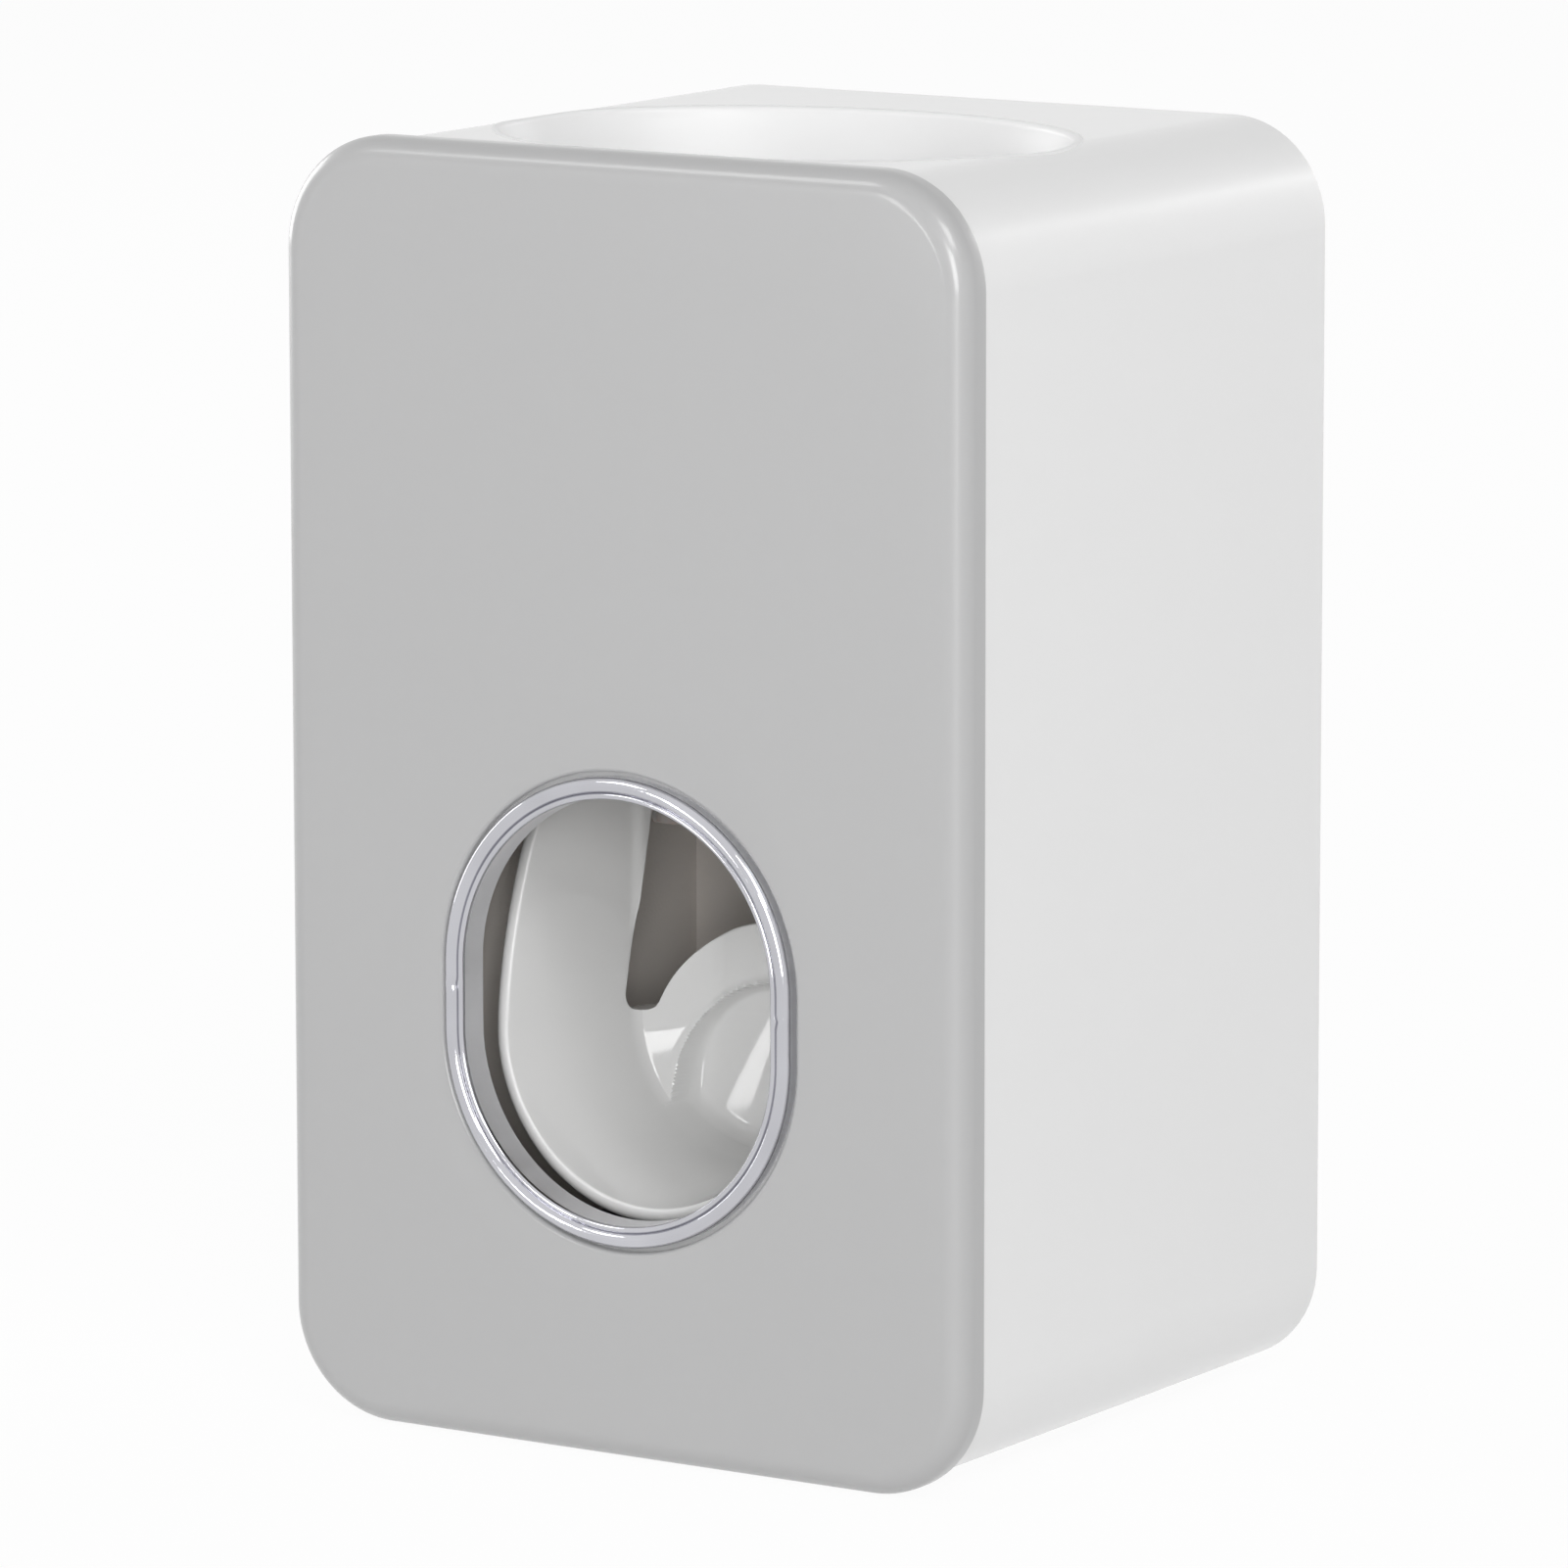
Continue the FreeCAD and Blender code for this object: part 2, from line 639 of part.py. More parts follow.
def make_front_cover():
    cover = new_body("front_cover")
    rear = behind("cover_depth")
    front_prism(
        cover, "tray", rounded_rectangle, (COVER_WIDTH, "cover_height", "cover_corner"), rear,
        behind("0"),
    )
    round_edges(cover, "soft_edge", "cover_edge_round", edge_on_front(behind("0")))
    walls = "2 * cover_wall"
    inner = (f"{COVER_WIDTH} - {walls}", f"cover_height - {walls}", "cover_corner - cover_wall")
    front_prism(
        cover, "hollow", rounded_rectangle, inner, f"{rear} + cut_overrun", behind("cover_wall"), cut=True
    )
    front_prism(cover, "ring_seat", obround, ("ring_width", RING_HEIGHT), behind("ring_seat_depth"),
                behind("0 - cut_overrun"), RING_LEVEL, cut=True)
    round_edges(cover, "ring_seat_edge", "ring_edge_round", ring_seat_edge)
    sleeve_hole = (f"{SLEEVE_WIDTH} + 2 * part_gap", f"{SLEEVE_HEIGHT} + 2 * part_gap")
    front_prism(
        cover, "ring_hole", obround, sleeve_hole, behind("cover_wall + cut_overrun"), behind("0"),
        RING_LEVEL, cut=True,
    )
    for name, (x_sign, z_sign) in CORNERS.items():
        across = (f"{x_sign}{BOSS_X}", f"{z_sign}{BOSS_Z}")
        rod(
            cover, f"{name}_peg", "y", across, behind("cover_wall"), behind("cover_wall + peg_length"),
            "peg_radius",
        )
    return cover


# Bright ring: a round bead on the face and a sleeve through the cover.
def make_chrome_ring():
    ring = new_body("chrome_ring")
    seat = behind("ring_seat_depth")
    front_prism(
        ring, "bead", obround, (RING_BEAD_WIDTH, RING_BEAD_HEIGHT), seat, behind("0 - ring_proud"),
        RING_LEVEL,
    )
    front_prism(
        ring, "sleeve", obround, (SLEEVE_WIDTH, SLEEVE_HEIGHT), behind("sleeve_end"), seat, RING_LEVEL
    )
    bore = (f"{RING_BEAD_WIDTH} - 2 * ring_bead", f"{RING_BEAD_HEIGHT} - 2 * ring_bead")
    front_prism(
        ring, "bore", obround, bore, behind("sleeve_end + cut_overrun"),
        behind("0 - ring_proud - cut_overrun"), RING_LEVEL, cut=True,
    )
    round_edges(
        ring, "round_bead", "ring_bead * bead_round_share", edge_on_front(behind("0 - ring_proud"))
    )
    return ring


# Retainer that is pressed over the sleeve behind the cover.
def make_ring_retainer():
    retainer = new_body("ring_retainer")
    start = behind("cover_wall + part_gap")
    end = behind("cover_wall + part_gap + retainer_thick")
    outer = (f"{SLEEVE_WIDTH} + 2 * retainer_width", f"{SLEEVE_HEIGHT} + 2 * retainer_width")
    inner = (f"{SLEEVE_WIDTH} + 2 * part_gap", f"{SLEEVE_HEIGHT} + 2 * part_gap")
    front_prism(retainer, "washer", obround, outer, end, start, RING_LEVEL)
    front_prism(
        retainer, "bore", obround, inner, f"{end} + cut_overrun", f"{start} - cut_overrun", RING_LEVEL,
        cut=True,
    )
    return retainer


# Inner frame: a deck across the housing and a three-sided tunnel round the lever.
def make_inner_frame():
    frame = new_body("inner_frame")
    side = f"({SHELL_HALF_WIDTH} - shell_wall - deck_side_gap)"
    start = behind("deck_start")
    rear = behind(f"{TUNNEL_REAR} + deck_rear_reach")
    block(frame, "deck", (f"0 - {side}", start, "deck_level"), (side, rear, DECK_TOP))
    block(
        frame, "tunnel", (f"0 - {TUNNEL_SIDE}", start, "0 - tunnel_drop"),
        (TUNNEL_SIDE, behind(TUNNEL_REAR), "deck_level"),
    )
    block(
        frame, "tunnel_hollow",
        ("0 - tunnel_half_width", f"{start} - cut_overrun", "0 - tunnel_drop - cut_overrun"),
        ("tunnel_half_width", behind("tunnel_end"), "deck_level"), cut=True,
    )
    low, high = "deck_level - cut_overrun", f"{DECK_TOP} + cut_overrun"
    rod(frame, "inlet_hole", "z", ("0", WELL_AXIS), low, high, f"{INLET_NECK} + seat_gap", cut=True)
    for name, side in SIDES:
        for end in ("front", "rear"):
            rod(
                frame, f"{name}_{end}_hole", "z", frame_screw_place(side, end), low, high, SCREW_HOLE,
                cut=True,
            )
        rod(
            frame, f"{name}_funnel_hole", "z", (f"{side}funnel_screw_reach", WELL_AXIS), low, high,
            SCREW_HOLE, cut=True,
        )
    for name, across in pump_screw_places().items():
        rod(frame, f"{name}_pump_hole", "z", across, low, high, SCREW_HOLE, cut=True)
    return frame


def pump_screw_places():
    """X and Y of the three screws that hold the pump block under the deck."""
    return {
        "left": ("-pump_screw_side", behind("pump_screw_front")),
        "right": ("pump_screw_side", behind("pump_screw_front")),
        "rear": ("0", behind("pump_screw_rear")),
    }


def make_frame_screws():
    screws = new_body("frame_screws")
    for name, side in SIDES:
        for end in ("front", "rear"):
            screw(screws, f"{name}_{end}", frame_screw_place(side, end), DECK_TOP)
    return screws


def make_pump_screws():
    screws = new_body("pump_screws")
    for name, across in pump_screw_places().items():
        screw(screws, name, across, DECK_TOP)
    return screws


def make_funnel_screws():
    screws = new_body("funnel_screws")
    for name, side in SIDES:
        screw(screws, name, (f"{side}funnel_screw_reach", WELL_AXIS), "deck_level", upwards=True)
    return screws


# Tube well: an oval funnel that guides an upside-down tube to the inlet.
def oval_wire(name, length, breadth, level):
    """An ellipse on the well's axis, for a loft."""
    ellipse = doc.addObject("Part::Ellipse", name)
    bind(ellipse, "MajorRadius", f"({length}) / 2")
    bind(ellipse, "MinorRadius", f"({breadth}) / 2")
    bind(ellipse, "Placement.Base.y", WELL_AXIS)
    bind(ellipse, "Placement.Base.z", level)
    return ellipse


def oval_loft(name, low, high):
    """A solid between two ovals, each given as length, breadth and level."""
    loft = doc.addObject("Part::Loft", name)
    loft.Sections = [oval_wire(f"{name}_low", *low), oval_wire(f"{name}_high", *high)]
    loft.Solid = True
    loft.Ruled = True
    return loft


def make_tube_funnel():
    gap = "2 * part_gap"
    wall = "2 * well_wall"
    rim_outer = (f"well_length - {gap}", f"well_breadth - {gap}", SHELL_HALF_HEIGHT)
    rim_inner = (f"well_length - {gap} - {wall}", f"well_breadth - {gap} - {wall}", SHELL_HALF_HEIGHT)
    floor_outer = (f"well_floor_length + {wall}", f"well_floor_breadth + {wall}", WELL_UNDERSIDE)
    floor_inner = ("well_floor_length", "well_floor_breadth", "well_floor_level")
    cone = doc.addObject("Part::Cut", "well_cone")
    cone.Base = oval_loft("well_outside", floor_outer, rim_outer)
    cone.Tool = oval_loft("well_inside", floor_inner, rim_inner)
    fittings = new_body("well_fittings")
    under_top = f"({SHELL_HALF_HEIGHT} - shell_wall - well_flange_drop)"
    reach = "2 * well_flange_reach"
    top_prism(
        fittings, "flange", f"well_length + {reach}", f"well_breadth + {reach}",
        f"{under_top} - well_flange_thick", under_top,
    )
    top_prism(fittings, "flange_bore", f"well_length - {gap} - {wall}", f"well_breadth - {gap} - {wall}",
              f"{under_top} - well_flange_thick - cut_overrun", f"{under_top} + cut_overrun", cut=True)
    rod(
        fittings, "skirt", "z", ("0", WELL_AXIS), DECK_TOP, f"{WELL_UNDERSIDE} + well_floor_thick / 2",
        "skirt_radius",
    )
    for name, side in SIDES:
        across = (f"{side}funnel_screw_reach", WELL_AXIS)
        rod(
            fittings, f"{name}_post", "z", across, DECK_TOP, f"{WELL_UNDERSIDE} + well_floor_thick / 2",
            "funnel_post_radius",
        )
    whole = doc.addObject("Part::Fuse", "well_whole")
    whole.Base = cone
    whole.Tool = fittings
    bores = new_body("well_bores")
    rod(
        bores, "skirt_bore", "z", ("0", WELL_AXIS), f"{DECK_TOP} - cut_overrun", WELL_UNDERSIDE,
        "skirt_radius - skirt_wall",
    )
    rod(
        bores, "neck_hole", "z", ("0", WELL_AXIS), WELL_UNDERSIDE, "well_floor_level + cut_overrun",
        f"{INLET_NECK} + seat_gap",
    )
    for name, side in SIDES:
        across = (f"{side}funnel_screw_reach", WELL_AXIS)
        rod(
            bores, f"{name}_pilot", "z", across, f"{DECK_TOP} - cut_overrun",
            f"{DECK_TOP} + screw_grip + seat_gap", SCREW_HOLE,
        )
    bored = doc.addObject("Part::Cut", "well_bored")
    bored.Base = whole
    bored.Tool = bores
    outline = new_body("well_outline")
    housing = (f"2 * {SHELL_HALF_WIDTH}", f"2 * {SHELL_HALF_HEIGHT}", SHELL_CORNER)
    front_prism(outline, "limit", rounded_rectangle, housing, SHELL_BACK, SHELL_FRONT)
    funnel = doc.addObject("Part::Common", "tube_funnel")
    funnel.Label = "tube_funnel"
    funnel.Base = bored
    funnel.Tool = outline
    return funnel


# Soft inlet sleeve that grips the tube's neck.
def make_inlet_sleeve():
    sleeve = new_body("inlet_sleeve")
    low = f"({BLOCK_TOP} - inlet_flange_thick)"
    top = "well_floor_level + inlet_top_proud"
    rod(sleeve, "flange", "z", ("0", WELL_AXIS), low, BLOCK_TOP, "inlet_flange_radius")
    rod(sleeve, "neck", "z", ("0", WELL_AXIS), BLOCK_TOP, top, INLET_NECK)
    rod(
        sleeve, "bore", "z", ("0", WELL_AXIS), f"{low} - cut_overrun", f"{top} + cut_overrun",
        "neck_bore", cut=True,
    )
    return sleeve


# Duckbill valve under the sleeve: paste passes down and cannot go back.
def make_inlet_valve():
    valve = new_body("inlet_valve")
    top = f"({BLOCK_TOP} - inlet_flange_thick - part_gap)"
    seat = f"({top} - valve_flange_thick)"
    tip = f"({seat} - valve_bill_length)"
    across = ("0", WELL_AXIS)
    rod(valve, "flange", "z", across, seat, top, "valve_pocket_radius - part_gap")
    rod(valve, "bill", "z", across, tip, seat, "valve_bill_tip", far_radius="valve_bill_top")
    rod(
        valve, "bore", "z", across, f"{tip} + valve_rubber", f"{top} + cut_overrun",
        "valve_bill_tip - valve_rubber / 2", cut=True, far_radius="valve_bill_top - valve_rubber / 2",
    )
    low = ("0 - valve_bill_tip / 2", f"{WELL_AXIS} - slit_width / 2", f"{tip} - cut_overrun")
    high = ("valve_bill_tip / 2", f"{WELL_AXIS} + slit_width / 2", f"{tip} + valve_rubber + slit_width")
    block(valve, "slit", low, high, cut=True)
    return valve


# Pump block: the cylinder, the inlet pocket over it and the boss for the pivot pin.
def make_pump_block():
    pump = new_body("pump_block")
    axis = ("0", "plunger_level")
    mouth = behind(f"{HEAD_FRONT} - seat_gap - lip_thick")
    lip = behind(f"{HEAD_FRONT} - seat_gap")
    back = behind(BLOCK_BACK)
    rod(pump, "barrel", "y", axis, mouth, back, "pump_bore + pump_wall")
    block(
        pump, "neck",
        ("0 - block_half_width", behind("block_start"), "plunger_level + pump_bore + pump_wall / 2"),
        ("block_half_width", back, f"{BLOCK_TOP} - block_flange_thick"),
    )
    block(
        pump, "flange",
        ("0 - block_flange_half_width", behind("block_flange_start"),
         f"{BLOCK_TOP} - block_flange_thick"),
        ("block_flange_half_width", behind("block_flange_end"), BLOCK_TOP),
    )
    rod(
        pump, "pin_boss", "x", (PIVOT_Y, "pivot_level"), "0 - hub_inner + seat_gap",
        "hub_inner - seat_gap", "pin_boss_radius",
    )
    block(
        pump, "ears",
        (
            "0 - cap_ear_reach", behind(f"{BLOCK_BACK} - cap_ear_length"),
            "plunger_level - cap_ear_half_height",
        ),
        ("cap_ear_reach", back, "plunger_level + cap_ear_half_height"),
    )
    rod(pump, "bore", "y", axis, lip, f"{back} + cut_overrun", "pump_bore", cut=True)
    rod(
        pump, "mouth", "y", axis, f"{mouth} - cut_overrun", f"{lip} + cut_overrun",
        "collar_radius + seat_gap", cut=True,
    )
    across = ("0", WELL_AXIS)
    floor = f"({BLOCK_TOP} - valve_pocket_drop)"
    rod(
        pump, "valve_pocket", "z", across, floor, f"{BLOCK_TOP} + cut_overrun", "valve_pocket_radius",
        cut=True,
    )
    rod(
        pump, "sleeve_seat", "z", across, f"{BLOCK_TOP} - inlet_flange_thick - part_gap",
        f"{BLOCK_TOP} + cut_overrun", "inlet_flange_radius + part_gap", cut=True,
    )
    port = ("0", behind(f"{BLOCK_BACK} - port_setback"))
    rod(
        pump, "port", "z", port, "plunger_level + pump_bore / 2", f"{floor} + cut_overrun",
        "port_radius", cut=True,
    )
    rod(
        pump, "pin_bore", "x", (PIVOT_Y, "pivot_level"), "0 - hub_inner - cut_overrun",
        "hub_inner + cut_overrun", "pin_radius + pin_running_gap", cut=True,
    )
    for name, across in pump_screw_places().items():
        rod(
            pump, f"{name}_pilot", "z", across, f"{DECK_TOP} - deck_thick - screw_grip - seat_gap",
            f"{BLOCK_TOP} + cut_overrun", SCREW_HOLE, cut=True,
        )
    for name, side in SIDES:
        rod(
            pump, f"{name}_cap_pilot", "y", (f"{side}{CAP_SCREW_X}", "plunger_level"),
            f"{back} - screw_grip - seat_gap", f"{back} + cut_overrun", SCREW_HOLE, cut=True,
        )
    return pump


# Rear cap of the cylinder, with a spigot that centres the spring.
def make_pump_cap():
    cap = new_body("pump_cap")
    front = behind(f"{BLOCK_BACK} + part_gap")
    back = f"({front} + cap_thick)"
    rod(cap, "disc", "y", ("0", "plunger_level"), front, back, "pump_bore + pump_wall")
    block(cap, "ears", ("0 - cap_ear_reach", front, "plunger_level - cap_ear_half_height"),
          ("cap_ear_reach", back, "plunger_level + cap_ear_half_height"))
    rod(
        cap, "spigot", "y", ("0", "plunger_level"), f"{front} - cap_spigot_length", front,
        "cap_spigot_radius",
    )
    for name, side in SIDES:
        rod(
            cap, f"{name}_hole", "y", (f"{side}{CAP_SCREW_X}", "plunger_level"),
            f"{front} - cut_overrun", f"{back} + cut_overrun", SCREW_HOLE, cut=True,
        )
    return cap


def make_cap_screws():
    screws = new_body("cap_screws")
    seat = f"({behind(BLOCK_BACK)} + part_gap + cap_thick)"
    for name, side in SIDES:
        x = f"({side}{CAP_SCREW_X})"
        across = (x, "plunger_level")
        rod(
            screws, f"{name}_shank", "y", across, f"{seat} - cap_thick - screw_grip", seat, "screw_radius"
        )
        rod(screws, f"{name}_head", "y", across, seat, f"{seat} + screw_head_height", "screw_head_radius")
        low = (
            f"{x} - screw_head_radius", f"{seat} + screw_head_height - screw_slot_depth",
            "plunger_level - screw_slot_width / 2",
        )
        high = (
            f"{x} + screw_head_radius", f"{seat} + screw_head_height + cut_overrun",
            "plunger_level + screw_slot_width / 2",
        )
        block(screws, f"{name}_slot", low, high, cut=True)
    return screws


# Return spring between the plunger's head and the cap.
def make_return_spring():
    spring = new_body("return_spring")
    start = behind(f"{HEAD_REAR} + seat_gap + spring_wire")
    coil_length = "(chamber_length + part_gap - 2 * seat_gap - 2 * spring_wire)"
    wire = new_sketch(spring, "wire_section", "XY_Plane", ("0", start, "plunger_level"))
    wire.addGeometry(
        Part.Circle(Vector(amount("spring_radius"), 0), Vector(0, 0, 1), amount("spring_wire")), False
    )
    wire.addConstraint(Sketcher.Constraint("PointOnObject", 0, 3, -1))
    constrain(wire, "DistanceX", (-1, 1, 0, 3), "spring_radius")
    constrain(wire, "Radius", (0,), "spring_wire")
    doc.recompute()
    coil = spring.newObject("PartDesign::AdditiveHelix", "coil")
    coil.Profile = wire
    coil.ReferenceAxis = (wire, ["V_Axis"])
    coil.Mode = "height-turns-angle"
    coil.Angle = 0
    bind(coil, "Height", coil_length)
    bind(coil, "Turns", "spring_turns")
    return spring


# Plunger: a hollow rod with two collars for the lever's pegs and a head in the cylinder.
def make_plunger():
    plunger = new_body("plunger")
    axis = ("0", "plunger_level")
    rod(plunger, "rod", "y", axis, behind(COLLAR_FRONT), behind(HEAD_REAR), "plunger_rod_radius")
    rod(
        plunger, "front_collar", "y", axis, behind(COLLAR_FRONT),
        behind(f"{COLLAR_FRONT} + collar_thick"), "collar_radius",
    )
    rod(
        plunger, "rear_collar", "y", axis, behind(COLLAR_REAR), behind(f"{COLLAR_REAR} + collar_thick"),
        "collar_radius",
    )
    rod(plunger, "head", "y", axis, behind(HEAD_FRONT), behind(HEAD_REAR), "plunger_head_radius")
    rod(
        plunger, "channel", "y", axis, behind(f"{COLLAR_FRONT} - cut_overrun"),
        behind(f"{HEAD_REAR} + cut_overrun"), "plunger_channel", cut=True,
    )
    rod(plunger, "spigot_bore", "y", axis, behind(f"{COLLAR_FRONT} - cut_overrun"),
        behind(f"{COLLAR_FRONT} + spigot_length + part_gap"), "spigot_radius + part_gap", cut=True)
    groove = plunger.newObject("PartDesign::SubtractiveTorus", "seal_groove")
    groove.Placement = Placement(Vector(), TURN_TO["y"])
    bind(groove, "Radius1", SEAL_RADIUS)
    bind(groove, "Radius2", "seal_wire + part_gap")
    bind(groove, "Placement.Base.y", SEAL_Y)
    bind(groove, "Placement.Base.z", "plunger_level")
    return plunger


def make_plunger_seal():
    seal = new_body("plunger_seal")
    ring = seal.newObject("PartDesign::AdditiveTorus", "o_ring")
    ring.Placement = Placement(Vector(), TURN_TO["y"])
    bind(ring, "Radius1", SEAL_RADIUS)
    bind(ring, "Radius2", "seal_wire")
    bind(ring, "Placement.Base.y", SEAL_Y)
    bind(ring, "Placement.Base.z", "plunger_level")
    return seal


# Outlet elbow plugged into the plunger, turned down over the brush.
def make_outlet_nozzle():
    nozzle = new_body("outlet_nozzle")
    axis = ("0", "plunger_level")
    down = ("0", OUTLET_Y)
    rod(nozzle, "elbow", "y", axis, behind(ELBOW_FRONT), behind(ELBOW_REAR), "plunger_rod_radius")
    rod(
        nozzle, "spigot", "y", axis, behind(ELBOW_REAR), behind(f"{COLLAR_FRONT} + spigot_length"),
        "spigot_radius",
    )
    rod(nozzle, "spout", "z", down, OUTLET_END, "plunger_level", "outlet_radius")
    rod(
        nozzle, "way_in", "y", axis, OUTLET_Y, behind(f"{COLLAR_FRONT} + spigot_length + cut_overrun"),
        "outlet_bore", cut=True,
    )
    rod(
        nozzle, "way_down", "z", down, f"{OUTLET_END} - cut_overrun", "plunger_level", "outlet_bore",
        cut=True,
    )
    return nozzle


# Slit valve at the outlet's end, which shuts when the plunger comes back.
def make_outlet_valve():
    valve = new_body("outlet_valve")
    top = f"({OUTLET_END} - part_gap)"
    low = f"({top} - tip_height)"
    down = ("0", OUTLET_Y)
    rod(valve, "tip", "z", down, low, top, "tip_radius")
    rod(valve, "hollow", "z", down, f"{low} + tip_floor", f"{top} + cut_overrun", "outlet_bore", cut=True)
    start = ("0 - outlet_bore / 2", f"{OUTLET_Y} - slit_width / 2", f"{low} - cut_overrun")
    end = ("outlet_bore / 2", f"{OUTLET_Y} + slit_width / 2", f"{low} + tip_floor + slit_width")
    block(valve, "slit", start, end, cut=True)
    return valve


# Pivot pin through the lever's hubs and the pump block, with a spring clip.
def make_pivot_pin():
    pin = new_body("pivot_pin")
    across = (PIVOT_Y, "pivot_level")
    head = f"(0 - {CLIP_INNER})"
    groove_start = f"({CLIP_INNER} - part_gap)"
    groove_end = f"({CLIP_INNER} + clip_thick + part_gap)"
    rod(pin, "shaft", "x", across, head, groove_start, "pin_radius")
    rod(pin, "head", "x", across, f"{head} - pin_head_height", head, "pin_head_radius")
    rod(pin, "groove", "x", across, groove_start, groove_end, "pin_radius - pin_groove_depth")
    rod(pin, "tip", "x", across, groove_end, PIN_END, "pin_radius")
    return pin


def make_pin_clip():
    clip = new_body("pin_clip")
    across = (PIVOT_Y, "pivot_level")
    end = f"{CLIP_INNER} + clip_thick"
    rod(clip, "washer", "x", across, CLIP_INNER, end, "clip_radius")
    rod(
        clip, "bore", "x", across, f"{CLIP_INNER} - cut_overrun", f"{end} + cut_overrun",
        "pin_radius - pin_groove_depth + part_gap", cut=True,
    )
    low = (
        f"{CLIP_INNER} - cut_overrun", f"{PIVOT_Y} - clip_mouth / 2",
        "pivot_level - clip_radius - cut_overrun",
    )
    high = (f"{end} + cut_overrun", f"{PIVOT_Y} + clip_mouth / 2", "pivot_level")
    block(clip, "mouth", low, high, cut=True)
    return clip


# Push lever: a trough open to the front and the top, hung by two arms from the pin.
def trough_wire(name, depth, half_width, bottom, top):
    """A U outline seen from the front: a half circle below two upright sides."""
    half, low, high = amount(half_width), -amount(bottom), amount(top)
    y = amount(behind(depth))
    centre = low + half
    arc = Part.Arc(Vector(-half, y, centre), Vector(0, y, low), Vector(half, y, centre)).toShape()
    right = Part.makeLine(Vector(half, y, centre), Vector(half, y, high))
    lid = Part.makeLine(Vector(half, y, high), Vector(-half, y, high))
    left = Part.makeLine(Vector(-half, y, high), Vector(-half, y, centre))
    return Part.Wire([arc, right, lid, left])


def scoop_section(depth, wall):
    """The scoop's outline at a depth, grown by the wall."""
    span = "(scoop_back_behind - scoop_front_behind)"
    share = f"((({depth}) - scoop_front_behind) / {span})"
    narrowing = f"(scoop_back_half_width - scoop_front_half_width) * {share}"
    rise = f"(scoop_back_bottom - scoop_front_bottom) * {share}"
    half = f"scoop_front_half_width + {narrowing} + {wall}"
    bottom = f"scoop_front_bottom + {rise} + {wall}"
    return trough_wire("section", depth, half, bottom, "pivot_level")


def scoop_trough():
    """The walls of the scoop: an outer loft less an inner one with a rounded back."""
    front = "scoop_front_behind - cut_overrun"
    back = "scoop_back_behind + scoop_back_wall"
    outside = Part.makeLoft(
        [scoop_section(front, "scoop_wall"), scoop_section(back, "scoop_wall")], True, True
    )
    inside = Part.makeLoft(
        [scoop_section(f"{front} - cut_overrun", "0"), scoop_section("scoop_back_behind", "0")], True,
        True,
    )
    on_back = edge_on_front(behind("scoop_back_behind"))
    rear_edges = [edge for edge in inside.Edges if on_back(edge) and edge.BoundBox.ZMin < 0]
    inside = inside.makeFillet(amount("scoop_back_round"), rear_edges)
    return outside.cut(inside)


def behind_rim(half):
    """What lies behind the rim: a large cylinder, and a box below its middle."""
    radius = amount("rim_curve_radius")
    rim_y = amount(behind("rim_curve_behind"))
    level = -amount("rim_curve_low")
    curve = Part.makeCylinder(
        radius, 2 * half, Vector(-half, rim_y + radius, level), Vector(1, 0, 0)
    )
    return curve.fuse(Part.makeBox(2 * half, radius, radius, Vector(-half, rim_y, level - radius)))


def behind_arms(half):
    """What is cut away behind the arms: a prism with a rounded notch, but for the hump."""
    arm_rear, notch_front = amount(behind("arm_rear_behind")), amount(behind("notch_behind"))
    far = amount(behind("scoop_back_behind + scoop_back_wall + cut_overrun"))
    high, notch = amount("pivot_level + hub_radius"), -amount("notch_level")
    side_view = (
        (arm_rear, high), (far, high), (far, notch), (notch_front, notch),
        (arm_rear, -amount("arm_slope_top")), (arm_rear, high),
    )
    outline = Part.makePolygon([Vector(-half, y, z) for y, z in side_view])
    prism = Part.Face(outline).extrude(Vector(2 * half, 0, 0))
    match = amount("edge_match")
    at_notch = [
        edge for edge in prism.Edges
        if max(abs(v.Y - notch_front) + abs(v.Z - notch) for v in edge.Vertexes) < match
    ]
    prism = prism.makeFillet(amount("notch_round"), at_notch)
    centre = Vector(0, notch_front, -amount("hump_top + hump_radius"))
    hump = Part.makeCylinder(amount("hump_radius"), far - notch_front, centre, Vector(0, 1, 0))
    return prism.cut(hump)


def scoop_pocket():
    """The arched recess in the back wall, inside the scoop's own outline."""
    half = amount("pocket_half_width")
    start = amount(behind("scoop_back_behind - scoop_back_round"))
    length = amount("scoop_back_round + pocket_depth")
    centre = -amount("pocket_top + pocket_half_width")
    low = -amount("scoop_back_bottom + scoop_wall")
    arch = Part.makeCylinder(half, length, Vector(0, start, centre), Vector(0, 1, 0))
    legs = Part.makeBox(2 * half, length, centre - low, Vector(-half, start, low))
    outline = Part.Face(scoop_section("scoop_back_behind", "0"))
    outline.translate(Vector(0, -amount("scoop_back_round"), 0))
    return arch.fuse(legs).common(outline.extrude(Vector(0, length, 0)))


def hubs_and_pegs():
    """A hub and a drive peg at the end of each arm."""
    pivot = Vector(0, amount(PIVOT_Y), amount("pivot_level"))
    peg = Vector(0, amount(behind("peg_drive_behind")), amount("plunger_level"))
    narrowing = (
        "(scoop_back_half_width - scoop_front_half_width) * (peg_drive_behind - scoop_front_behind)"
        " / (scoop_back_behind - scoop_front_behind)"
    )
    peg_end = amount(f"scoop_front_half_width + {narrowing} + scoop_wall / 2")
    reaches = (
        (pivot, amount("hub_inner"), amount("hub_outer"), amount("hub_radius")),
        (peg, amount("peg_drive_inner"), peg_end, amount("peg_drive_radius")),
    )
    return [
        Part.makeCylinder(radius, far - near, place + way * near, way)
        for way in (Vector(-1, 0, 0), Vector(1, 0, 0))
        for place, near, far, radius in reaches
    ]


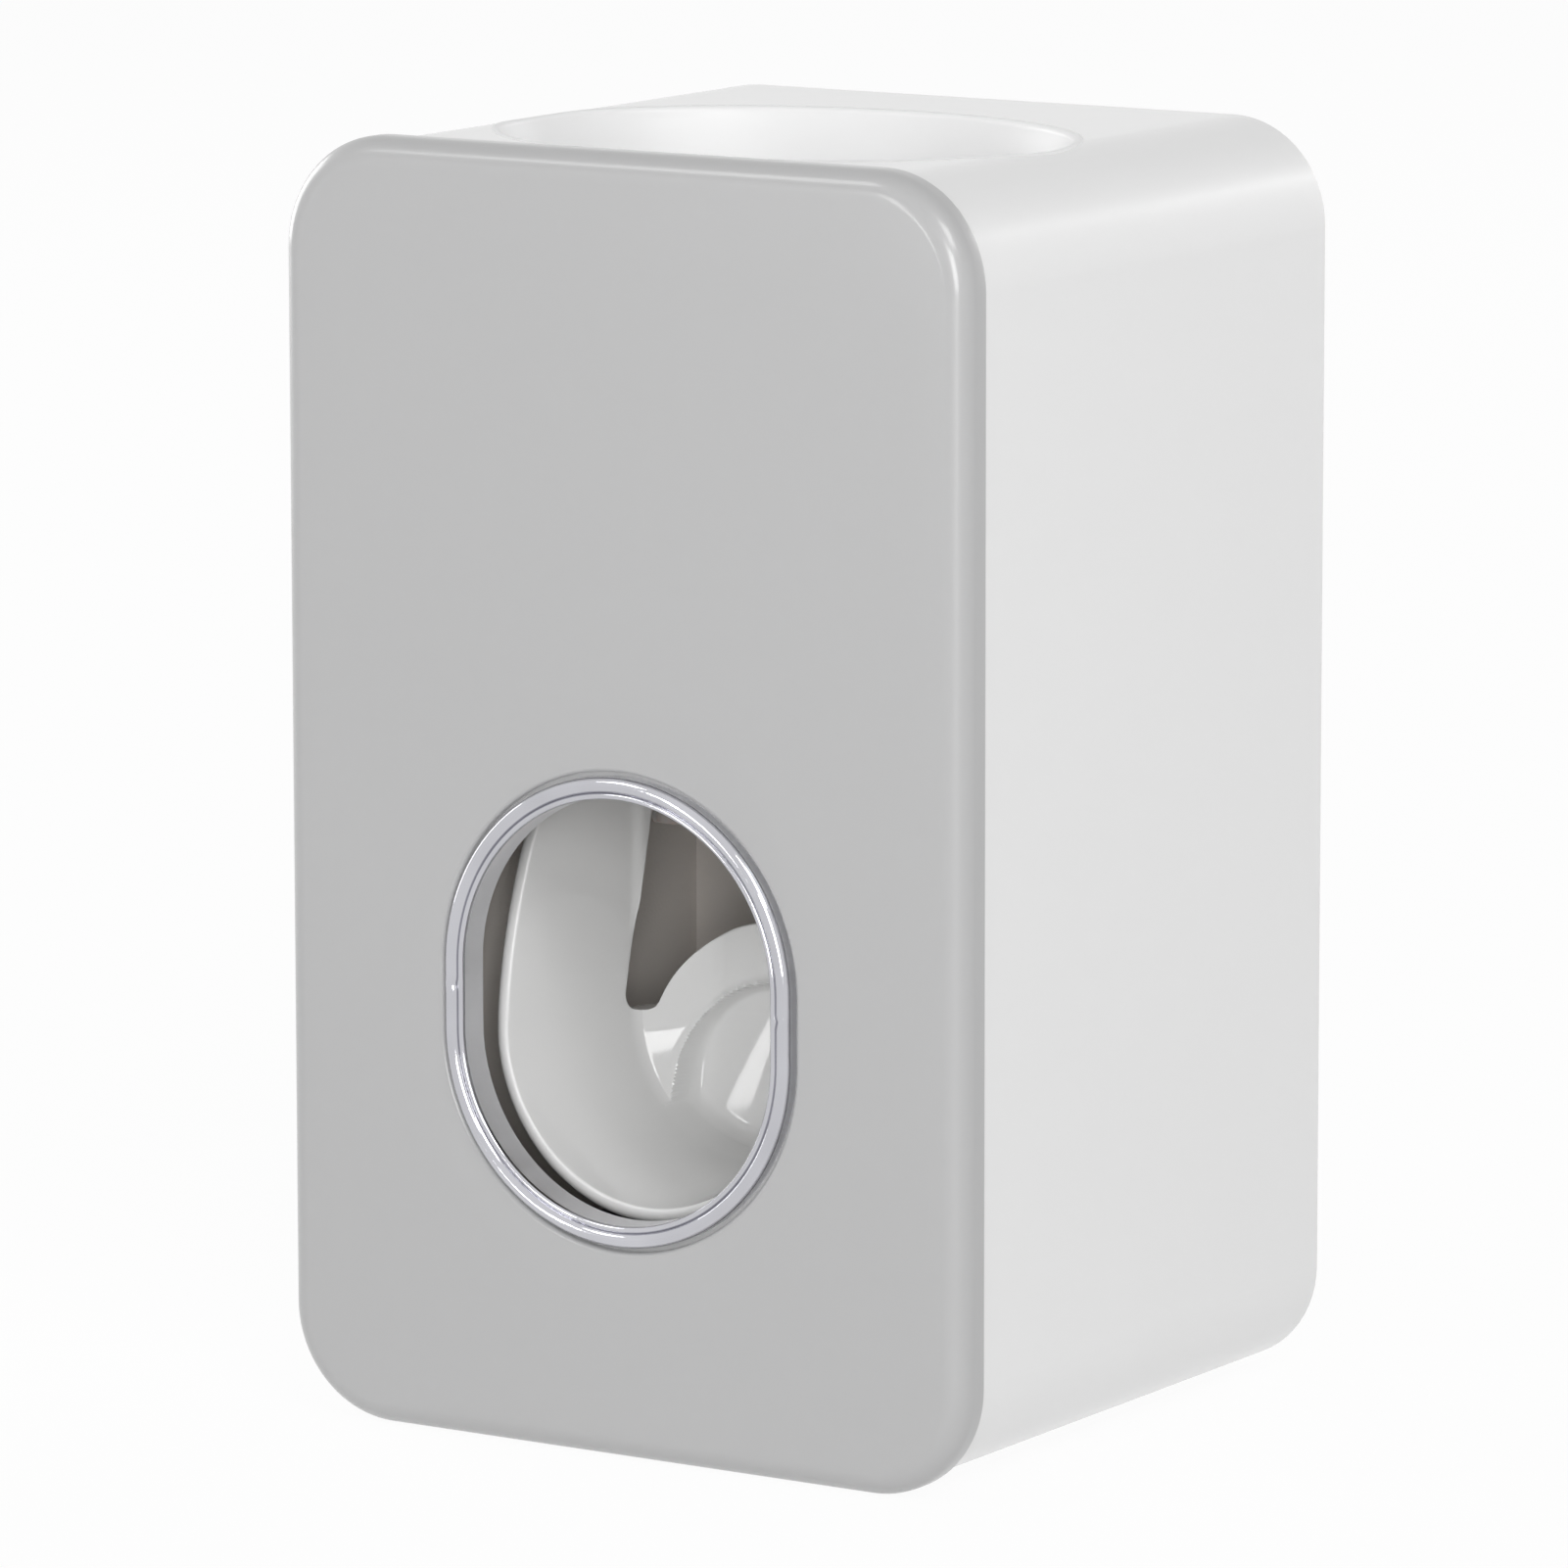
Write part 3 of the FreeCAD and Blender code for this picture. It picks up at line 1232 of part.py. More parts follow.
def make_push_lever():
    half = amount("scoop_front_half_width + scoop_wall + cut_overrun")
    trough = scoop_trough().common(behind_rim(half)).cut(behind_arms(half)).cut(scoop_pocket())
    lever = trough.fuse(hubs_and_pegs()).removeSplitter()
    bore_half = amount("hub_outer + cut_overrun")
    bore_start = Vector(-bore_half, amount(PIVOT_Y), amount("pivot_level"))
    bore = Part.makeCylinder(
        amount("pin_radius + pin_running_gap"), 2 * bore_half, bore_start, Vector(1, 0, 0)
    )
    feature = doc.addObject("Part::Feature", "push_lever")
    feature.Label = "push_lever"
    feature.Shape = lever.cut(bore)
    feature.Placement = Placement()
    return feature


MAKERS = (
    make_wall_plate,
    make_adhesive_pad,
    make_housing_shell,
    make_peg_grommets,
    make_inner_frame,
    make_frame_screws,
    make_tube_funnel,
    make_funnel_screws,
    make_inlet_sleeve,
    make_inlet_valve,
    make_pump_block,
    make_pump_screws,
    make_pump_cap,
    make_cap_screws,
    make_return_spring,
    make_pivot_pin,
    make_pin_clip,
    make_push_lever,
    make_plunger,
    make_plunger_seal,
    make_outlet_nozzle,
    make_outlet_valve,
    make_front_cover,
    make_chrome_ring,
    make_ring_retainer,
)

parts = [make() for make in MAKERS]
doc.recompute()

for thing in doc.Objects:
    if "Invalid" in thing.State or "Error" in thing.State:
        raise RuntimeError(f"{thing.Name} failed: {thing.State}")
for part in parts:
    if part.Shape.isNull() or not part.Shape.isValid():
        raise RuntimeError(f"{part.Label} has no valid shape")
    box = part.Shape.BoundBox
    print(f"{part.Label:15s} solids {len(part.Shape.Solids)} volume {part.Shape.Volume:9.1f}")
    print(f"    x {box.XMin:7.2f} {box.XMax:7.2f}  y {box.YMin:7.2f} {box.YMax:7.2f}", end="")
    print(f"  z {box.ZMin:7.2f} {box.ZMax:7.2f}")

os.makedirs("parts", exist_ok=True)
for part in parts:
    part.Shape.exportStep(f"parts/{part.Label}.step")
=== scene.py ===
# %% [markdown]
# # Toothpaste dispenser
# This notebook dresses a finished CAD model. The model is loaded as a fixed frame, and
# every piece made here takes its place from the boxes of the CAD nodes, in metres.
# +Z is up, the wall is at y = 0, the front faces -Y and +X is to the viewer's right.

# %% Load the frame
import json
import math

import bmesh
import bpy
import numpy as np
from mathutils import Matrix, Vector


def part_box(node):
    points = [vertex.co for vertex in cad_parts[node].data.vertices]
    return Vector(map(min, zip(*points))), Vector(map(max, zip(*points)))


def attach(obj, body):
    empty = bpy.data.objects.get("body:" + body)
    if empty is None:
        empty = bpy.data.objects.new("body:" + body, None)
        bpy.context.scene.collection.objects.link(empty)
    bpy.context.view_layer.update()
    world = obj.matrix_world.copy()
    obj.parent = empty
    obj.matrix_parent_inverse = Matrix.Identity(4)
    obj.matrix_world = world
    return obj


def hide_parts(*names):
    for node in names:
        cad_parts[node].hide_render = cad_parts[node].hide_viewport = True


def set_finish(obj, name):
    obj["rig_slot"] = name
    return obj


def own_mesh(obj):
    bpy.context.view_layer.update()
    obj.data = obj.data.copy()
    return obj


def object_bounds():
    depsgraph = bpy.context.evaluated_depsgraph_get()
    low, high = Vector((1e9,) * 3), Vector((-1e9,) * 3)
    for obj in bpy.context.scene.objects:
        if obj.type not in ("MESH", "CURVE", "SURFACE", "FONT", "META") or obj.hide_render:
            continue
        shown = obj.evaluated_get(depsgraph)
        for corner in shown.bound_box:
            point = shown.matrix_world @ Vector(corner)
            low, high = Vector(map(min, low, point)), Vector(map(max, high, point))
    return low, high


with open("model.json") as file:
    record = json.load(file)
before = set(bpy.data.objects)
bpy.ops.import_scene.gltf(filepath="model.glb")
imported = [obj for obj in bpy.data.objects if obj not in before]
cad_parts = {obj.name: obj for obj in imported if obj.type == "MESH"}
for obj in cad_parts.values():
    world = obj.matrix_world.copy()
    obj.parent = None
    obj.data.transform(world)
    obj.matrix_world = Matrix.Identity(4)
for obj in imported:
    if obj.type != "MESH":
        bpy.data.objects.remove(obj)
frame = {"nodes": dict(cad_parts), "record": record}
cad_low, cad_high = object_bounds()
MM = 0.001
print("CAD box in mm:", [round(c / MM, 1) for c in (*cad_low, *cad_high)])

# %% [markdown]
# ## The camera
# The photograph shows the dispenser from its right, a little above the middle, through
# a long lens. Its yaw, pitch, distance and focal length were fitted to the outline of the
# housing. The lens follows from the focal length in pixels, the width of the picture
# and Blender's sensor width.

# %% Camera
PICTURE_WIDTH = 1601
FOCAL_PIXELS = 10281.2
SENSOR_WIDTH = 36.0
CAMERA_YAW = math.radians(32.71)
CAMERA_PITCH = math.radians(9.65)
CAMERA_ROLL = math.radians(-0.07)
CAMERA_DISTANCE = 1172.4 * MM
CAMERA_AIM = Vector((2.96 * MM, 2.30 * MM))
AIM_DEPTH = 40.875 * MM


def camera_axes(yaw, pitch, roll):
    """Right, up and forward of a camera turned by yaw about Z, tipped down by pitch, rolled."""
    flat = math.cos(pitch)
    ahead = Vector((-math.sin(yaw) * flat, math.cos(yaw) * flat, -math.sin(pitch)))
    level = Vector((math.cos(yaw), math.sin(yaw), 0))
    above = level.cross(ahead)
    right = level * math.cos(roll) + above * math.sin(roll)
    up = above * math.cos(roll) - level * math.sin(roll)
    return right, up, ahead


right, up, ahead = camera_axes(CAMERA_YAW, CAMERA_PITCH, CAMERA_ROLL)
eye = Vector((0, -AIM_DEPTH, 0)) - right * CAMERA_AIM.x - up * CAMERA_AIM.y
eye -= ahead * CAMERA_DISTANCE
camera = bpy.data.objects.new("camera", bpy.data.cameras.new("camera"))
camera.data.sensor_width = SENSOR_WIDTH
camera.data.lens = FOCAL_PIXELS / PICTURE_WIDTH * SENSOR_WIDTH
camera.matrix_world = Matrix.Translation(eye) @ Matrix((right, up, -ahead)).transposed().to_4x4()
bpy.context.scene.collection.objects.link(camera)
bpy.context.scene.camera = camera
print("camera at", [round(c, 3) for c in eye], "lens", round(camera.data.lens, 1))

# %% [markdown]
# ## From arrays to meshes
# Every new piece here is a surface that was worked out, not one that was pushed and
# pulled. Each shape is an array of points with two indices. Neighbouring indices make
# the quads, and an index may wrap round to close a loop. Equal points are merged, so
# that seams and poles close, and the normals of the closed skin are then turned
# outwards. make_piece does all this, and says which body of the model a piece rides on.

# %% Mesh helpers
MERGE_STEP = 1e-7
SHARP_ANGLE = math.radians(32)


def quads(ids, wrap_rows=False, wrap_columns=False):
    """Corner indices of the quads of a grid of vertex numbers."""
    if wrap_rows:
        ids = np.vstack([ids, ids[:1]])
    if wrap_columns:
        ids = np.hstack([ids, ids[:, :1]])
    corners = ids[:-1, :-1], ids[1:, :-1], ids[1:, 1:], ids[:-1, 1:]
    return np.stack([c.ravel() for c in corners], axis=1)


def merged(points, faces):
    """Points without their doubles, and the faces renumbered to match."""
    keys = np.round(points / MERGE_STEP).astype(np.int64)
    kept, place = np.unique(keys, axis=0, return_index=True, return_inverse=True)[1:]
    return points[kept], place.ravel()[faces], place.ravel()


def make_piece(name, points, faces, body, slot, nodes):
    """A closed smooth mesh object that rides on a body and stands for CAD nodes."""
    points, faces, _ = merged(np.asarray(points, float).reshape(-1, 3), faces)
    polygons = [list(dict.fromkeys(face)) for face in faces.tolist()]
    mesh = bpy.data.meshes.new(name)
    mesh.from_pydata(points.tolist(), [], [p for p in polygons if len(p) > 2])
    tidy = bmesh.new()
    tidy.from_mesh(mesh)
    bmesh.ops.recalc_face_normals(tidy, faces=tidy.faces)
    open_edges = sum(not edge.is_manifold for edge in tidy.edges)
    tidy.to_mesh(mesh)
    tidy.free()
    mesh.shade_smooth()
    mesh.set_sharp_from_angle(angle=SHARP_ANGLE)
    piece = bpy.data.objects.new(name, mesh)
    bpy.context.scene.collection.objects.link(piece)
    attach(piece, body)
    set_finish(piece, slot)
    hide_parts(*nodes)
    sizes = f"{len(mesh.vertices)} points, {len(mesh.polygons)} faces"
    print(f"{name}: {sizes}, {open_edges} open edges")
    return piece


def joined(*parts):
    """Several (points, faces) pairs as one pair."""
    starts = np.cumsum([0] + [len(points) for points, _ in parts[:-1]])
    points = np.vstack([points for points, _ in parts])
    return points, np.vstack([faces + start for (_, faces), start in zip(parts, starts)])


def skin(grid, wrap_rows=False, wrap_columns=False):
    """The points and quads of one grid of points."""
    rows, columns = grid.shape[:2]
    ids = np.arange(rows * columns).reshape(rows, columns)
    return grid.reshape(-1, 3), quads(ids, wrap_rows, wrap_columns)


print("a tube of 3 rings of 4 points has", len(skin(np.zeros((3, 4, 3)), False, True)[1]), "quads")

# %% [markdown]
# ## Outlines
# The cover and its hole are loops seen from the front. A rounded rectangle is four
# quarter circles joined by straight runs. An obround is two half circles joined by
# upright runs. An arc of the section is a quarter circle as well, so one function
# gives them all.

# %% Outline helpers
CORNER_POINTS = 24
RUN_POINTS = 40


def arc(centre, radius, start, end, count):
    """Points centre + radius (cos a, sin a) for a from start to end, in degrees."""
    angles = np.radians(np.linspace(start, end, count))
    return np.array(centre) + radius * np.stack([np.cos(angles), np.sin(angles)], axis=1)


def rounded_rectangle(half_x, half_z, radius):
    """The loop of a rounded rectangle: a quarter circle, then a straight run, four times."""
    loop = []
    far_x, far_z = half_x - radius, half_z - radius
    corners = ((far_x, far_z, 0), (-far_x, far_z, 90), (-far_x, -far_z, 180), (far_x, -far_z, 270))
    arcs = [arc((x, z), radius, start, start + 90, CORNER_POINTS) for x, z, start in corners]
    for near, far in zip(arcs, arcs[1:] + arcs[:1]):
        shares = np.linspace(0, 1, RUN_POINTS + 2)[1:-1, None]
        loop += [near, near[-1] + (far[0] - near[-1]) * shares]
    return np.vstack(loop)


def obround_along(angles, radius, straight):
    """Where rays from the middle meet an obround: its upright sides, or else its round ends."""
    across, rise = np.cos(angles), np.sin(angles)
    side = radius / np.maximum(np.abs(across), MERGE_STEP)
    middle = straight / 2 * np.abs(rise)
    end = middle + np.sqrt(np.maximum(radius**2 - (straight / 2 * across) ** 2, 0))
    reach = np.where(np.abs(side * rise) <= straight / 2, side, end)
    return np.stack([reach * across, reach * rise], axis=1)


print("points round a rounded rectangle:", len(rounded_rectangle(3, 4, 1)))

# %% [markdown]
# ## The front cover
# The cover is a shallow tray with soft front edges and a stepped hole for the bright
# ring. It could be a cube with bevels and a Boolean hole, but a glossy face shows every
# uneven face. Here one section goes round the tray instead: up the side, over the soft
# edge, across the face to the hole, down into the hole, and back behind the face.

# %% Front cover
cover_low, cover_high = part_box("front_cover")
ring_low, ring_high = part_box("chrome_ring")
COVER_CORNER = 13.2 * MM
COVER_DEPTH = 4.6 * MM
COVER_WALL = 2.2 * MM
COVER_SOFT_EDGE = 2.9 * MM
COVER_REAR_EDGE = 0.3 * MM
COVER_INNER_EDGE = 0.8 * MM
RING_GROOVE = 0.6 * MM
RING_SEAT = 1.2 * MM
HOLE_EDGE = 0.5 * MM
HOLE_STEP = 2.0 * MM
EDGE_POINTS = 9
FACE_SHARES = np.linspace(0, 1, 8)[1:-1]
front_y = cover_low.y
ring_z = (ring_low.z + ring_high.z) / 2
ring_straight = (ring_high.z - ring_low.z) - (ring_high.x - ring_low.x)
hole_radius = ring_high.x + RING_GROOVE


def tray_loops():
    """All loops of the tray, as rows of (x, depth, z), in the order of the section."""
    outer = rounded_rectangle(cover_high.x, cover_high.z, COVER_CORNER)
    rays = np.arctan2(outer[:, 1] - ring_z, outer[:, 0])

    def edge_loop(inset, depth):
        loop = rounded_rectangle(cover_high.x - inset, cover_high.z - inset, COVER_CORNER - inset)
        return np.insert(loop, 1, depth, axis=1)

    def hole_loop(growth, depth):
        loop = obround_along(rays, hole_radius + growth, ring_straight) + (0, ring_z)
        return np.insert(loop, 1, depth, axis=1)

    def between(near, far):
        return [near + (far - near) * share for share in FACE_SHARES]

    soft, rear, inner = COVER_SOFT_EDGE, COVER_REAR_EDGE, COVER_INNER_EDGE
    side = [edge_loop(*p) for p in arc((rear, COVER_DEPTH - rear), rear, 90, 180, EDGE_POINTS)]
    side += [edge_loop(*p) for p in arc((soft, soft), soft, 180, 270, 2 * EDGE_POINTS)]
    lip = arc((-HOLE_EDGE, HOLE_EDGE), HOLE_EDGE, 270, 360, EDGE_POINTS)
    hole = [hole_loop(-growth, depth) for growth, depth in lip]
    steps = ((0, RING_SEAT), (-HOLE_STEP, RING_SEAT), (-HOLE_STEP, COVER_WALL))
    hole += [hole_loop(*step) for step in steps]
    turn = COVER_WALL + inner
    back = [edge_loop(*p) for p in arc((turn, turn), inner, 270, 180, EDGE_POINTS)]
    back.append(edge_loop(COVER_WALL, COVER_DEPTH))
    return np.array(side + between(side[-1], hole[0]) + hole + between(hole[-1], back[0]) + back)


tray = tray_loops()
tray[..., 1] += front_y
print("the cover's section has", len(tray), "points, carried round", tray.shape[1])

# %% [markdown]
# Four pegs behind the tray push into rubber grommets in the housing. They could be
# cylinders from the Add menu, but those have open seams and no tapered tip. A turned
# part is a section of (distance along the axis, radius) carried once round the axis.
# The grommets' box in the CAD says where the pegs stand.

# %% Turned parts and the cover's pegs
TURN_POINTS = 40
PEG_RADIUS = 2.5 * MM
PEG_TIP = 0.6 * MM
PEG_SUNK = 0.2 * MM
GROMMET_RADIUS = 3.45 * MM


def turned(section, centre, axis):
    """A section of (along, radius) turned about an axis through centre: r cos a, r sin a."""
    section = np.asarray(section, float)
    angles = np.linspace(0, 2 * math.pi, TURN_POINTS, endpoint=False)
    across = [other for other in range(3) if other != axis]
    grid = np.zeros((len(section), TURN_POINTS, 3))
    grid[..., axis] = section[:, None, 0]
    grid[..., across[0]] = centre[0] + section[:, None, 1] * np.cos(angles)
    grid[..., across[1]] = centre[1] + section[:, None, 1] * np.sin(angles)
    return skin(grid, wrap_columns=True)


grommets_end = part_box("peg_grommets")[1]
peg_x = grommets_end.x - GROMMET_RADIUS
peg_z = grommets_end.z - GROMMET_RADIUS
peg_foot, peg_end = front_y + COVER_WALL - PEG_SUNK, cover_high.y
peg_section = [
    (peg_foot, 0), (peg_foot, PEG_RADIUS), (peg_end - PEG_TIP, PEG_RADIUS),
    (peg_end, PEG_RADIUS - PEG_TIP), (peg_end, 0),
]
pegs = [turned(peg_section, (x, z), 1) for x in (-peg_x, peg_x) for z in (-peg_z, peg_z)]

cover_ride = ("front_cover", "cover_grey", ["front_cover"])
cover = make_piece("cover_tray", *skin(tray, True, True), *cover_ride)
cover_pegs = make_piece("cover_pegs", *joined(*pegs), *cover_ride)

# %% [markdown]
# ## The bright ring
# A plated plastic ring lines the brush opening. A main round bead lies on the face, with
# a fine bead inside it and a narrow groove between them. Behind the beads a sleeve goes
# through the cover, and where the mould's halves met there is a tiny nub on either side.
# A bevelled curve could make one bead, but not both and the sleeve in one closed skin.
# So a section goes round an obround path, and a bell curve raises it at the nubs.

# %% Bright ring
RING_POINTS = 360
BEAD = 2.5 * MM
MAIN_BEAD = 0.90 * MM
FINE_BEAD = 0.38 * MM
FINE_PROUD = 0.2 * MM
BEAD_POINTS = 18
SLEEVE_WALL = 1.0 * MM
SLEEVE_LIP = 0.25 * MM
NUB_HEIGHT = 0.28 * MM
NUB_LENGTH = 0.45 * MM
NUB_LEVEL = 1.3 * MM
NUB_SIDES = 0.9
MAIN_TURN = (180, 341)
FINE_TURN = (194, 360)


def obround_path(radius, straight, count):
    """Points and outward directions along an obround, evenly spaced from its right side."""
    half_turn = math.pi * radius
    total = 2 * (half_turn + straight)
    s = (np.arange(count) / count * total + straight / 2) % total
    first, turn, second = s < straight, (s - straight) / radius, s - straight - half_turn
    on_turn = (s >= straight) & (turn < math.pi)
    on_left = (turn >= math.pi) & (second < straight)
    last = (second - straight) / radius + math.pi
    angle = np.where(first, 0, np.where(on_turn, turn, np.where(on_left, math.pi, last)))
    z = np.where(first, s - straight / 2, np.where(on_left, straight / 2 - second, 0))
    z = np.where(on_turn, straight / 2, np.where(first | on_left, z, -straight / 2))
    out = np.stack([np.cos(angle), np.sin(angle)], axis=1)
    return radius * out + np.stack([np.zeros(count), z], axis=1), out


def ring_section():
    """(inset from the outside, depth behind the crest): two beads, then the sleeve."""
    main = arc((MAIN_BEAD, MAIN_BEAD), MAIN_BEAD, *MAIN_TURN, BEAD_POINTS)
    fine_centre = (BEAD - FINE_BEAD, MAIN_BEAD - FINE_PROUD)
    fine = arc(fine_centre, FINE_BEAD, *FINE_TURN, BEAD_POINTS)
    seat = front_y + RING_SEAT - ring_low.y
    end, lip, thin = ring_high.y - ring_low.y, SLEEVE_LIP, BEAD - SLEEVE_WALL
    sleeve = [
        (BEAD, seat), (BEAD, end - lip), (BEAD - lip, end), (thin + lip, end),
        (thin, end - lip), (thin, seat), (0, seat),
    ]
    return np.vstack([main, fine, sleeve])


section = ring_section()
path, outward = obround_path(ring_high.x, ring_straight, RING_POINTS)
nub = NUB_HEIGHT * np.exp(-(((path[:, 1] - NUB_LEVEL) / NUB_LENGTH) ** 2))
nub *= np.abs(outward[:, 0]) > NUB_SIDES
on_bead = np.arange(len(section)) < 2 * BEAD_POINTS
crest_share = np.where(on_bead, 1 - 2 * np.abs(section[:, 0] / BEAD - 0.5), 0)
ring = np.zeros((len(section), RING_POINTS, 3))
ring[..., 0] = path[:, 0] - outward[:, 0] * section[:, None, 0]
ring[..., 1] = ring_low.y + section[:, None, 1]
ring[..., 2] = ring_z + path[:, 1] - outward[:, 1] * section[:, None, 0]
ring[..., 0] += outward[:, 0] * nub * crest_share[:, None]
ring_ride = ("front_cover", "chrome", ["chrome_ring"])
bright_ring = make_piece("bright_ring", *skin(ring, True, True), *ring_ride)

# %% [markdown]
# ## The tube well
# The oval well is an insert: a rolled rim, sloping walls down to a floor, and a skirt
# below it. Every level of it is an ellipse, so the whole piece is one row of ellipses,
# from the rim down the inside and up the outside again. At its two tips the mouth
# reaches the rounding of the housing's top, so there the rim dips with it. The rim lies
# a little over the edge of the housing's mouth, as a rolled rim does, which hides the
# gap between the two. Two posts under the floor take the screws from the frame.

# %% Tube well
shell_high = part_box("housing_shell")[1]
well_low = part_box("tube_funnel")[0]
neck_low, neck_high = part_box("inlet_sleeve")
WELL_POINTS = 160
WELL_LENGTH = 72.0 * MM
WELL_BREADTH = 57.2 * MM
WELL_RIM = 1.7 * MM
WELL_OVER = 0.45 * MM
WELL_FLOOR = 38.0 * MM
WELL_FLOOR_LENGTH = 44.0 * MM
WELL_FLOOR_BREADTH = 40.0 * MM
WELL_FLOOR_THICK = 2.0 * MM
WELL_WALL_STEPS = 40
SKIRT_RADIUS = 12.0 * MM
SKIRT_WALL = 1.8 * MM
NECK_HOLE = 8.2 * MM
SHELL_CORNER = 12.4 * MM
RIM_PROUD = 0.12 * MM
well_y = (neck_low.y + neck_high.y) / 2


def ellipse(half_x, half_y, level):
    """One loop of the well: (half_x cos a, half_y sin a) at a level."""
    a = np.linspace(0, 2 * math.pi, WELL_POINTS, endpoint=False)
    return np.stack([half_x * np.cos(a), well_y + half_y * np.sin(a), level + 0 * a], axis=1)


def top_drop(x):
    """How far the housing's top has dropped at x: R - sqrt(R^2 - u^2), u past the flat."""
    past = np.clip(np.abs(x) - (shell_high.x - SHELL_CORNER), 0, SHELL_CORNER)
    return SHELL_CORNER - np.sqrt(SHELL_CORNER**2 - past**2)


def rim_loop(inset, depth):
    """An ellipse inside the mouth, depth below the housing's top, dipping at its tips."""
    level = shell_high.z + RIM_PROUD - depth
    loop = ellipse(WELL_LENGTH / 2 - inset, WELL_BREADTH / 2 - inset, level)
    loop[:, 2] -= top_drop(loop[:, 0])
    return loop


def well_loops():
    """Rim, wall, rounded floor, neck hole, skirt and the outside, as one closed section."""
    rim, wall = WELL_RIM / 2, WELL_RIM - WELL_OVER
    roll = arc((rim - WELL_OVER, rim), rim, 180, 360, 2 * EDGE_POINTS)
    loops = [rim_loop(inset, depth) for inset, depth in roll]
    top_x, top_y = WELL_LENGTH / 2 - wall, WELL_BREADTH / 2 - wall
    low_x, low_y = WELL_FLOOR_LENGTH / 2, WELL_FLOOR_BREADTH / 2
    near = loops[-1]
    for share in np.linspace(0, 1, WELL_WALL_STEPS)[1:]:
        inner = ellipse(top_x + (low_x - top_x) * share, top_y + (low_y - top_y) * share, 0)
        inner[:, 2] = near[:, 2] * (1 - share) + WELL_FLOOR * share
        loops.append(inner)
    floor = WELL_FLOOR - WELL_FLOOR_THICK
    bore = SKIRT_RADIUS - SKIRT_WALL
    rounds = [
        (NECK_HOLE, WELL_FLOOR), (NECK_HOLE, floor), (bore, floor), (bore, well_low.z),
        (SKIRT_RADIUS, well_low.z), (SKIRT_RADIUS, floor),
    ]
    loops += [ellipse(radius, radius, level) for radius, level in rounds]
    loops.append(ellipse(low_x + wall, low_y + wall, floor))
    return np.array(loops)


POST_REACH = 19.0 * MM
POST_RADIUS = 3.0 * MM
post_top = WELL_FLOOR - WELL_FLOOR_THICK / 2
post_section = [
    (well_low.z, 0), (well_low.z, POST_RADIUS), (post_top, POST_RADIUS), (post_top, 0),
]
posts = [turned(post_section, (x, well_y), 2) for x in (-POST_REACH, POST_REACH)]
well_ride = ("housing", "housing_white", ["tube_funnel"])
well = make_piece("tube_well", *skin(well_loops(), True, True), *well_ride)
well_posts = make_piece("well_posts", *joined(*posts), *well_ride)
print("depth of the well:", round((shell_high.z - WELL_FLOOR) / MM, 1), "mm")

# %% [markdown]
# ## The push lever
# The scoop is a trough that narrows towards the back and ends in a wall. Seen from the
# front each section is a U: a half circle with upright sides. One coordinate s goes
# along the U: from -1 to 1 it is the angle of the half circle in quarter turns, beyond
# that it climbs the sides. A second coordinate goes back from the rim, through the
# rounding into the back wall, and inwards to the middle of that wall. The inner and the
# outer skin use the same coordinates, so their edges match point for point.

# %% Lever sizes
LEVER_FRONT = 5.6 * MM
LEVER_BACK = 33.0 * MM
FRONT_HALF = 19.3 * MM
BACK_HALF = 15.3 * MM
FRONT_BOTTOM = -46.6 * MM
BACK_BOTTOM = -44.3 * MM
LEVER_WALL = 2.2 * MM
CREASE_START = 27.3 * MM
CREASE_ROUND = 1.5 * MM
BAND_SLOPE = math.radians(57)
BAND_ROUND = 3.0 * MM
OUTER_BACK = 37.7 * MM
OUTER_ROUND = 1.2 * MM
RIM_RADIUS = 66.0 * MM
RIM_LOW = -31.0 * MM
RIM_DEPTH = 5.9 * MM
ARM_REAR = 31.0 * MM
ARM_TOP = 22.0 * MM
ARM_SLOPE_TOP = -2.4 * MM
NOTCH_FRONT = 26.0 * MM
NOTCH_LEVEL = -28.7 * MM
NOTCH_ROUND = 2.4 * MM
HUMP_RADIUS = 14.5 * MM
HUMP_CENTRE = -32.2 * MM
HUMP_ROUND = 1.5 * MM
POCKET_RADIUS = 11.5 * MM
POCKET_CENTRE = -36.3 * MM
POCKET_DEPTH = 2.9 * MM
POCKET_SIDE = 1.3 * MM
POCKET_RIDGE = 0.2
POCKET_FOOT = 2.0 * MM
POCKET_BOWL = 0.045
POCKET_POWER = 1.43
POCKET_LEAN = 0.075
LIP_WIDTH = 0.75 * MM
LIP_HEIGHT = 0.34 * MM
depth_span = LEVER_BACK - LEVER_FRONT
notch_rear = NOTCH_FRONT + NOTCH_ROUND
scoop_sizes = [round(size / MM, 1) for size in (depth_span, 2 * FRONT_HALF)]
print("depth and width of the scoop's inside in mm:", scoop_sizes)

# %% [markdown]
# Side walls first. Small functions say how wide and how low the trough is at a depth,
# where its rim and its arms' rear edges lie, and how far a rounding has come in. They
# are the drawing of the scoop, in words that can be changed one at a time. Modelling the
# same outline with cuts in a ready mesh would leave uneven faces that a gloss shows.

# %% Lever outlines
def half_width(depth):
    """The trough's half width, falling evenly from front to back."""
    return FRONT_HALF + (BACK_HALF - FRONT_HALF) * (depth - LEVER_FRONT) / depth_span


def centre_level(depth):
    """The level of the middle of the half circle: an even rise, and the half width over it."""
    share = (depth - LEVER_FRONT) / depth_span
    return FRONT_BOTTOM + (BACK_BOTTOM - FRONT_BOTTOM) * share + half_width(depth)


